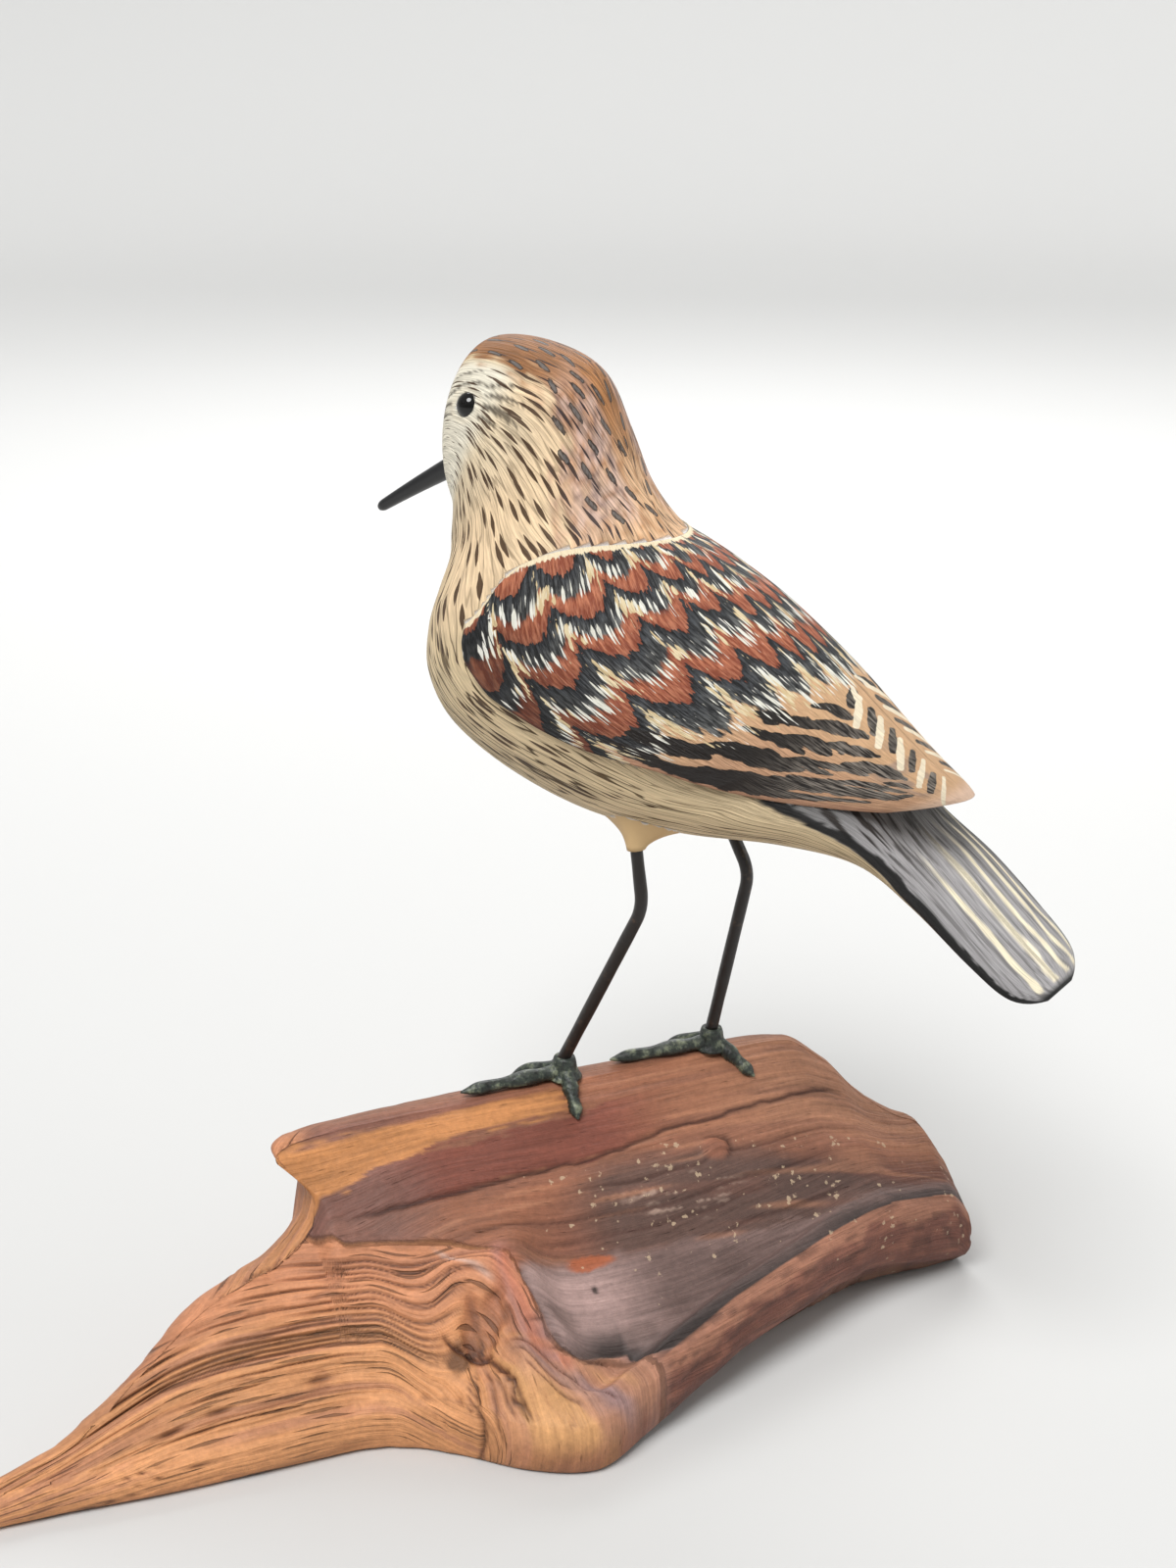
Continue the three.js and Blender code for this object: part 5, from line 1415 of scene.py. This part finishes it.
for long_mm, wide_mm, offset, window, reach, code in (
        (10.0, 1.2, 5.0, seam_window, 0.56, "cfb98f"),
        (8.0, 0.9, 1.0, seam_window, 0.48, "dccba6"),
        (15.0, 1.0, 3.0, pale_window, 0.43, "dedccf"),
        (11.0, 0.8, 8.0, pale_window, 0.37, "e8e6dc")):
    cells = add(tree, "TexVoronoi", {"voronoi_dimensions": "2D", "distance": "MINKOWSKI"},
                {"Vector": stretched(tree, long_mm, wide_mm, offset), "Scale": 1.0,
                 "Randomness": 0.95, "Exponent": 1.05})
    depth = add(tree, "Math", {"operation": "MULTIPLY_ADD"}, {0: window, 1: reach, 2: -0.03})
    inside = add(tree, "Math", {"operation": "SUBTRACT"}, {0: depth, 1: cells.outputs["Distance"]})
    share = add(tree, "MapRange", None,
                {"Value": inside, "From Min": 0.0, "From Max": 0.04, "To Min": 0.0, "To Max": 0.95})
    mixed = add(tree, "Mix", {"data_type": "RGBA"},
                {"Factor": share, 6: colour, 7: (*linear(code), 1)})
    colour = mixed.outputs[2]
# A brushed cream line along the front of the cape
front = add(tree, "Attribute", {"attribute_name": "front"})
ragged_front = add(tree, "Math", {"operation": "MULTIPLY_ADD"},
                   {0: streaks.outputs["Fac"], 1: 1.8, 2: front.outputs["Fac"]})
front_share = add(tree, "MapRange", None, {"Value": ragged_front, "From Min": 1.1, "From Max": 1.3})
finished = add(tree, "Mix", {"data_type": "RGBA"},
               {"Factor": front_share, 6: colour, 7: (*linear("ead9b8"), 1)})
ridges = add(tree, "Math", {"operation": "MULTIPLY_ADD"},
             {0: streaks.outputs["Fac"], 1: 1.2, 2: barbs.outputs["Fac"]})
relief = add(tree, "Bump", None, {"Height": ridges, "Strength": 0.8, "Distance": 0.0006})
surface(tree, shader, finished.outputs[2], relief, 0.58, 0.3)


def painted_object(name, points, faces, at, angle, ends):
    """A part of the carving with the brush's fields and ground colours kept at its points."""
    made = new_object(name, shared(from_bird(points)), faces)
    fields, degrees, side = paint_fields(at, angle)
    fields.update(rear_fields(at, degrees, side))
    y = section(body_rows, at, angle)[..., 1]
    tone, dash, groove_share, cap, spots = body_colour(at, degrees, side, y)
    if name == "cape":
        tone = rear_tint(at, degrees, side)
    fields.update({"dash": dash, "scored": groove_share, "cap": cap, "tint": tone, "spots": spots})
    for key, values in fields.items():
        keep(made.data, key, ends(values))
    made.data.materials.append(plain_paint)
    made.data.materials.append(wing_paint)
    return made


carving = painted_object("carved_bird", with_ends(body_grid), skin_faces(*body_grid.shape[:2], False),
                         along_body, body_angle, with_ends)

# The folded wings: a thick shell raised over the back, its lower side sunk into the body
cape_rows, cape_columns = 181, 191
across = np.linspace(-1, 1, cape_columns)[None]
reach = np.linspace(0, 1, cape_rows)[:, None]
side_reach = np.abs(across)
cape_front = front_row(side_reach)
# The rim runs out to a point over the tail: at the sides it ends up to 0.95 of a row sooner
tip_row = wing_tip_row - 0.25 - 0.95 * side_reach ** 2.2
cape_row = cape_front + (tip_row - cape_front) * reach
cape_edge = line(wing_edges, cape_row)
cape_angle = -np.radians(across * cape_edge)
cape_skin = section(torso_rows, cape_row, cape_angle)
back_line = section(torso_rows, cape_row, 0 * cape_angle)
core = (back_line + section(torso_rows, cape_row, 0 * cape_angle + np.pi)) / 2
inward = core - cape_skin
depth = np.linalg.norm(inward, axis=-1, keepdims=True)
step = wing_step + (wing_front_step - wing_step) * (1 - soft(reach, 0, 0.06))
cape_upper = cape_skin - inward / depth * step[..., None]
cape_lower = cape_skin + inward * np.minimum(blade_thickness / depth, 0.6)
cape_points = np.concatenate([cape_upper.reshape(-1, 3), cape_lower.reshape(-1, 3)])


def shell_faces(rows, columns):
    """Faces of a closed shell: an upper and a lower grid, and the strip round their rim."""
    i, k = np.meshgrid(np.arange(rows - 1), np.arange(columns - 1), indexing="ij")
    a = i * columns + k
    size = rows * columns
    upper = np.stack([a, a + columns, a + columns + 1, a + 1], -1).reshape(-1, 4)
    lower = np.stack([a, a + 1, a + columns + 1, a + columns], -1).reshape(-1, 4) + size
    n = np.arange(rows - 1) * columns
    m = np.arange(columns - 1)
    last = (rows - 1) * columns
    right = n + columns - 1
    rims = [
        np.stack([n, n + size, n + columns + size, n + columns], -1),
        np.stack([right, right + columns, right + columns + size, right + size], -1),
        np.stack([m, m + 1, m + 1 + size, m + size], -1),
        np.stack([last + m, last + m + size, last + m + 1 + size, last + m + 1], -1),
    ]
    return np.concatenate([upper, lower, *rims]).tolist()


def thigh_rings(hip, axis):
    """A thigh that flares into the belly.

    Its lines run from a small circle round the wire to a loop just inside the belly's skin.
    Over the share s of the way, each goes along the axis as 1 - (1 - s)^1.5 and outward as s^1.4.
    """
    away = body_grid - hip
    beside = np.linalg.norm(away - (away @ axis)[..., None] * axis, axis=-1)
    beside = beside + 100 * (np.cos(body_angle) > 0)
    spot = np.unravel_index(beside.argmin(), beside.shape)
    at, angle = along_body[spot], body_angle[spot]
    row_step = section(body_rows, at + 0.1, angle) - section(body_rows, at - 0.1, angle)
    turn_step = section(body_rows, at, angle + 0.05) - section(body_rows, at, angle - 0.05)
    row_mm, turn_mm = np.linalg.norm(row_step) / 0.2, np.linalg.norm(turn_step) / 0.1
    a = 2 * np.pi * np.arange(48) / 48
    loop_at = at + thigh_flare * np.cos(a) / row_mm
    loop_angle = angle - thigh_flare * np.sin(a) / turn_mm
    loop = section(body_rows, loop_at, loop_angle)
    heart = (section(body_rows, loop_at, 0 * a) + section(body_rows, loop_at, 0 * a + np.pi)) / 2
    loop = loop + 0.9 * unit_vector(heart - loop) - hip
    along = (loop @ axis)[:, None]
    outward = loop - along * axis
    small = thigh_neck / 2 * unit_vector(outward)
    s = np.linspace(0, 1, 15)[:, None, None]
    return hip + small + axis * along * (1 - (1 - s) ** 1.5) + (outward - small) * s ** 1.4


def both_sides(values):
    """The values of the shell's upper grid, and the same again for its lower grid."""
    flat = values.reshape(-1, *values.shape[2:])
    return np.concatenate([flat, flat])


cape = painted_object("cape", cape_points, shell_faces(cape_rows, cape_columns), cape_row, cape_angle,
                      both_sides)
cape.data.polygons.foreach_set("material_index", np.ones(len(cape.data.polygons), np.int32))
pieces = [cape]
cutters = []
# How far a rod that cuts a socket runs on past its mouth
cutter_excess = 6
for side in hips:
    hip, _, _, rise, _ = leg_places(side)
    thigh = rod_object("thigh", from_bird(thigh_rings(hip, rise)))
    keep(thigh.data, "tint", np.tile(linear("d3b384"), (len(thigh.data.vertices), 1)))
    thigh.data.materials.append(plain_paint)
    pieces.append(thigh)
    ends = np.array([-cutter_excess, wire_socket_depth + fit_gap])[:, None]
    hole = rod_rings(hip + ends * rise, [wire_diameter / 2 + fit_gap] * 2, 24, (0, 1, 0))
    cutters.append(rod_object("socket", from_bird(hole)))


def head_turned(points):
    """Points turned with the head, about the neck."""
    neck = [neck_pivot * unit, 0, 0]
    return turned_about(points - neck, -head_turn) + neck


# The bill's path is a curve of three points, so that it droops along a low arch
bill_length = 37
bill_tip_diameter = 2.6
bill_arch = 0.8
bill_droop = math.radians(29)
# Where it leaves the face, along and up
bill_along, bill_up = 25.7, 44.4
bill_root = np.array([bill_along * unit, 0, belly_clearance + bill_up * unit])
bill_way = np.array([math.cos(bill_droop), 0, -math.sin(bill_droop)])
bill_ends = bill_root + np.array([-bill_socket_depth, bill_length])[:, None] * bill_way
bill_middle = bill_ends[0] + 0.55 * (bill_ends[1] - bill_ends[0]) + [0, 0, bill_arch]
t = np.linspace(0, 1, 61)[:, None]
bill_path = (1 - t) ** 2 * bill_ends[0] + 2 * t * (1 - t) * bill_middle + t ** 2 * bill_ends[1]
bill_path = head_turned(bill_path)
bill_start = unit_vector(bill_path[1] - bill_path[0])
ends = np.array([-fit_gap, bill_socket_depth + cutter_excess])[:, None]
hole = rod_rings(bill_path[0] + ends * bill_start, [bill_root_diameter / 2 + fit_gap] * 2, 32)
cutters.append(rod_object("bill_socket", from_bird(hole)))


def eye_place(sign):
    """The middle of an eye's ball and the way it faces, from the skin's two directions there."""
    at, angle = np.array(eye_row), np.array(sign * math.radians(eye_angle))
    point = section(torso_rows, at, angle)
    ahead = section(torso_rows, at + 0.1, angle) - point
    around = section(torso_rows, at, angle + sign * 0.05) - point
    outward = unit_vector(np.cross(ahead, around))
    outward = outward * math.copysign(1, outward[1] * sign)
    radius = eye_opening / 2 + eye_hidden
    return point - outward * math.sqrt(radius ** 2 - (eye_opening / 2) ** 2), outward


def ball_rings(middle, outward, radius):
    """Rings of a ball about the line it faces along, from its back pole to its front pole."""
    polar = np.linspace(0.02, np.pi - 0.02, 33)
    centres = middle - outward * (radius * np.cos(polar))[:, None]
    return rod_rings(centres, radius * np.sin(polar), 40)


for sign in (1, -1):
    middle_of_eye, outward = eye_place(sign)
    hole = ball_rings(middle_of_eye, outward, eye_opening / 2 + eye_hidden + fit_gap)
    cutters.append(rod_object("eye_socket", from_bird(hole)))
combined(carving, pieces, "UNION")
combined(carving, cutters, "DIFFERENCE")
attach(carving, "root")
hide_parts("bird_carving")

# Bill
# A drooping spike of hard wood, let into the face and painted black. It thins quickly at first,
# by the share of its length to the power 0.8, and its tip is rounded.
share = np.linspace(0, 1, 61)
bill_diameters = bill_root_diameter + (bill_tip_diameter - bill_root_diameter) * share ** 0.8
bill_radii = bill_diameters / 2 * rounded_end(share, 0.94)
bill = rod_object("painted_bill", from_bird(rod_rings(bill_path, bill_radii, 40)))
# Satin paint: a soft narrow shine along the top
satin, tree, shader = new_material("satin black paint")
shader.inputs["Base Color"].default_value = (*linear("19191b"), 1)
shader.inputs["Roughness"].default_value = 0.33
bill.data.materials.append(satin)
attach(bill, "root")
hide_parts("bill")

# Eyes
# Two balls of black glass, let into round sockets in the face so that only their fronts show.
# Polished glass: very smooth, so it gives back small sharp lights
glass, tree, shader = new_material("black glass")
shader.inputs["Base Color"].default_value = (*linear("0a0908"), 1)
shader.inputs["Roughness"].default_value = 0.04
shader.inputs["IOR"].default_value = 1.52
for side, sign in (("left", 1), ("right", -1)):
    middle_of_eye, outward = eye_place(sign)
    ball = ball_rings(middle_of_eye, outward, eye_opening / 2 + eye_hidden)
    ball = rod_object(f"glass_eye_{side}", from_bird(ball))
    ball.data.materials.append(glass)
    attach(ball, "root")
    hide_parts(f"eye_{side}")

# Floor, light and camera
# A plain pale floor that curves up into a low wall all round, as in a photo studio. A soft light
# like the sun's comes from the upper left, with a weak lamp in front and one behind. In metres.
floor_radius = 2.0
curve_radius = 0.9
wall_height = 0.7
floor_sides = 96
# The way the sun shines, its watts to the square metre, and its width in radians
sun_way = (0.62, 0.50, -1.25)
sun_power = 3.0
sun_width = 0.55
# The two lamps: their places and their watts, then their size, and the place they both face
fill_place = (0.95, -0.5, 0.6)
fill_power = 2.5
rim_place = (0.5, 0.9, 0.9)
rim_power = 9
lamp_size = 0.8
lamp_aim = (0, 0, 0.1)
# How bright the room itself is. The camera's tilt is in degrees up from straight down
room_light = 0.42
camera_place = (-0.1647, -0.4498, 0.318)
camera_tilt = 70
camera_turn = -24
camera_lens = 54
turn = np.linspace(0, np.pi / 2, 16)
reach = np.concatenate([[0.001, 0.7, 1.4], floor_radius + curve_radius * np.sin(turn),
                        [floor_radius + curve_radius]])
level = np.concatenate([[0, 0, 0], curve_radius * (1 - np.cos(turn)), [curve_radius + wall_height]])
round_way = 2 * np.pi * np.arange(floor_sides) / floor_sides
bowl = np.stack([reach[:, None] * np.cos(round_way), reach[:, None] * np.sin(round_way),
                 np.repeat(level[:, None], floor_sides, 1)], -1)
i, k = np.meshgrid(np.arange(len(reach) - 1) * floor_sides, np.arange(floor_sides), indexing="ij")
after = (k + 1) % floor_sides
floor_faces = np.stack([i + k, i + floor_sides + k, i + floor_sides + after, i + after], -1)
floor = new_object("floor", bowl, floor_faces.reshape(-1, 4).tolist() + [list(range(floor_sides))])
# Matt pale board: rough all over, so that it shows soft shadows and no shine
pale, tree, shader = new_material("plain pale floor")
shader.inputs["Base Color"].default_value = (*linear("c5c5c4"), 1)
shader.inputs["Roughness"].default_value = 0.9
floor.data.materials.append(pale)


def new_lamp(name, place, power):
    """A square soft lamp of so many watts, turned towards the middle of the object."""
    lamp = bpy.data.lights.new(name, "AREA")
    lamp.size, lamp.energy = lamp_size, power
    made = bpy.data.objects.new(name, lamp)
    bpy.context.scene.collection.objects.link(made)
    made.location = place
    turn = (Vector(lamp_aim) - Vector(place)).to_track_quat("-Z", "Y")
    made.rotation_euler = turn.to_euler()
    return made


key_lamp = bpy.data.lights.new("key_light", "SUN")
key_lamp.energy, key_lamp.angle = sun_power, sun_width
key = bpy.data.objects.new("key_light", key_lamp)
bpy.context.scene.collection.objects.link(key)
key.rotation_euler = Vector(sun_way).to_track_quat("-Z", "Y").to_euler()
fill = new_lamp("fill_light", fill_place, fill_power)
rim = new_lamp("rim_light", rim_place, rim_power)
world = bpy.data.worlds.new("soft_room")
world.use_nodes = True
background = world.node_tree.nodes["Background"]
background.inputs["Color"].default_value = (*linear("f3f3f2"), 1)
background.inputs["Strength"].default_value = room_light
bpy.context.scene.world = world
bpy.context.scene.view_settings.view_transform = "Standard"
lens = bpy.data.cameras.new("camera")
lens.lens = camera_lens
camera = bpy.data.objects.new("camera", lens)
camera.location = camera_place
camera.rotation_euler = (math.radians(camera_tilt), 0, math.radians(camera_turn))
bpy.context.scene.collection.objects.link(camera)
bpy.context.scene.camera = camera
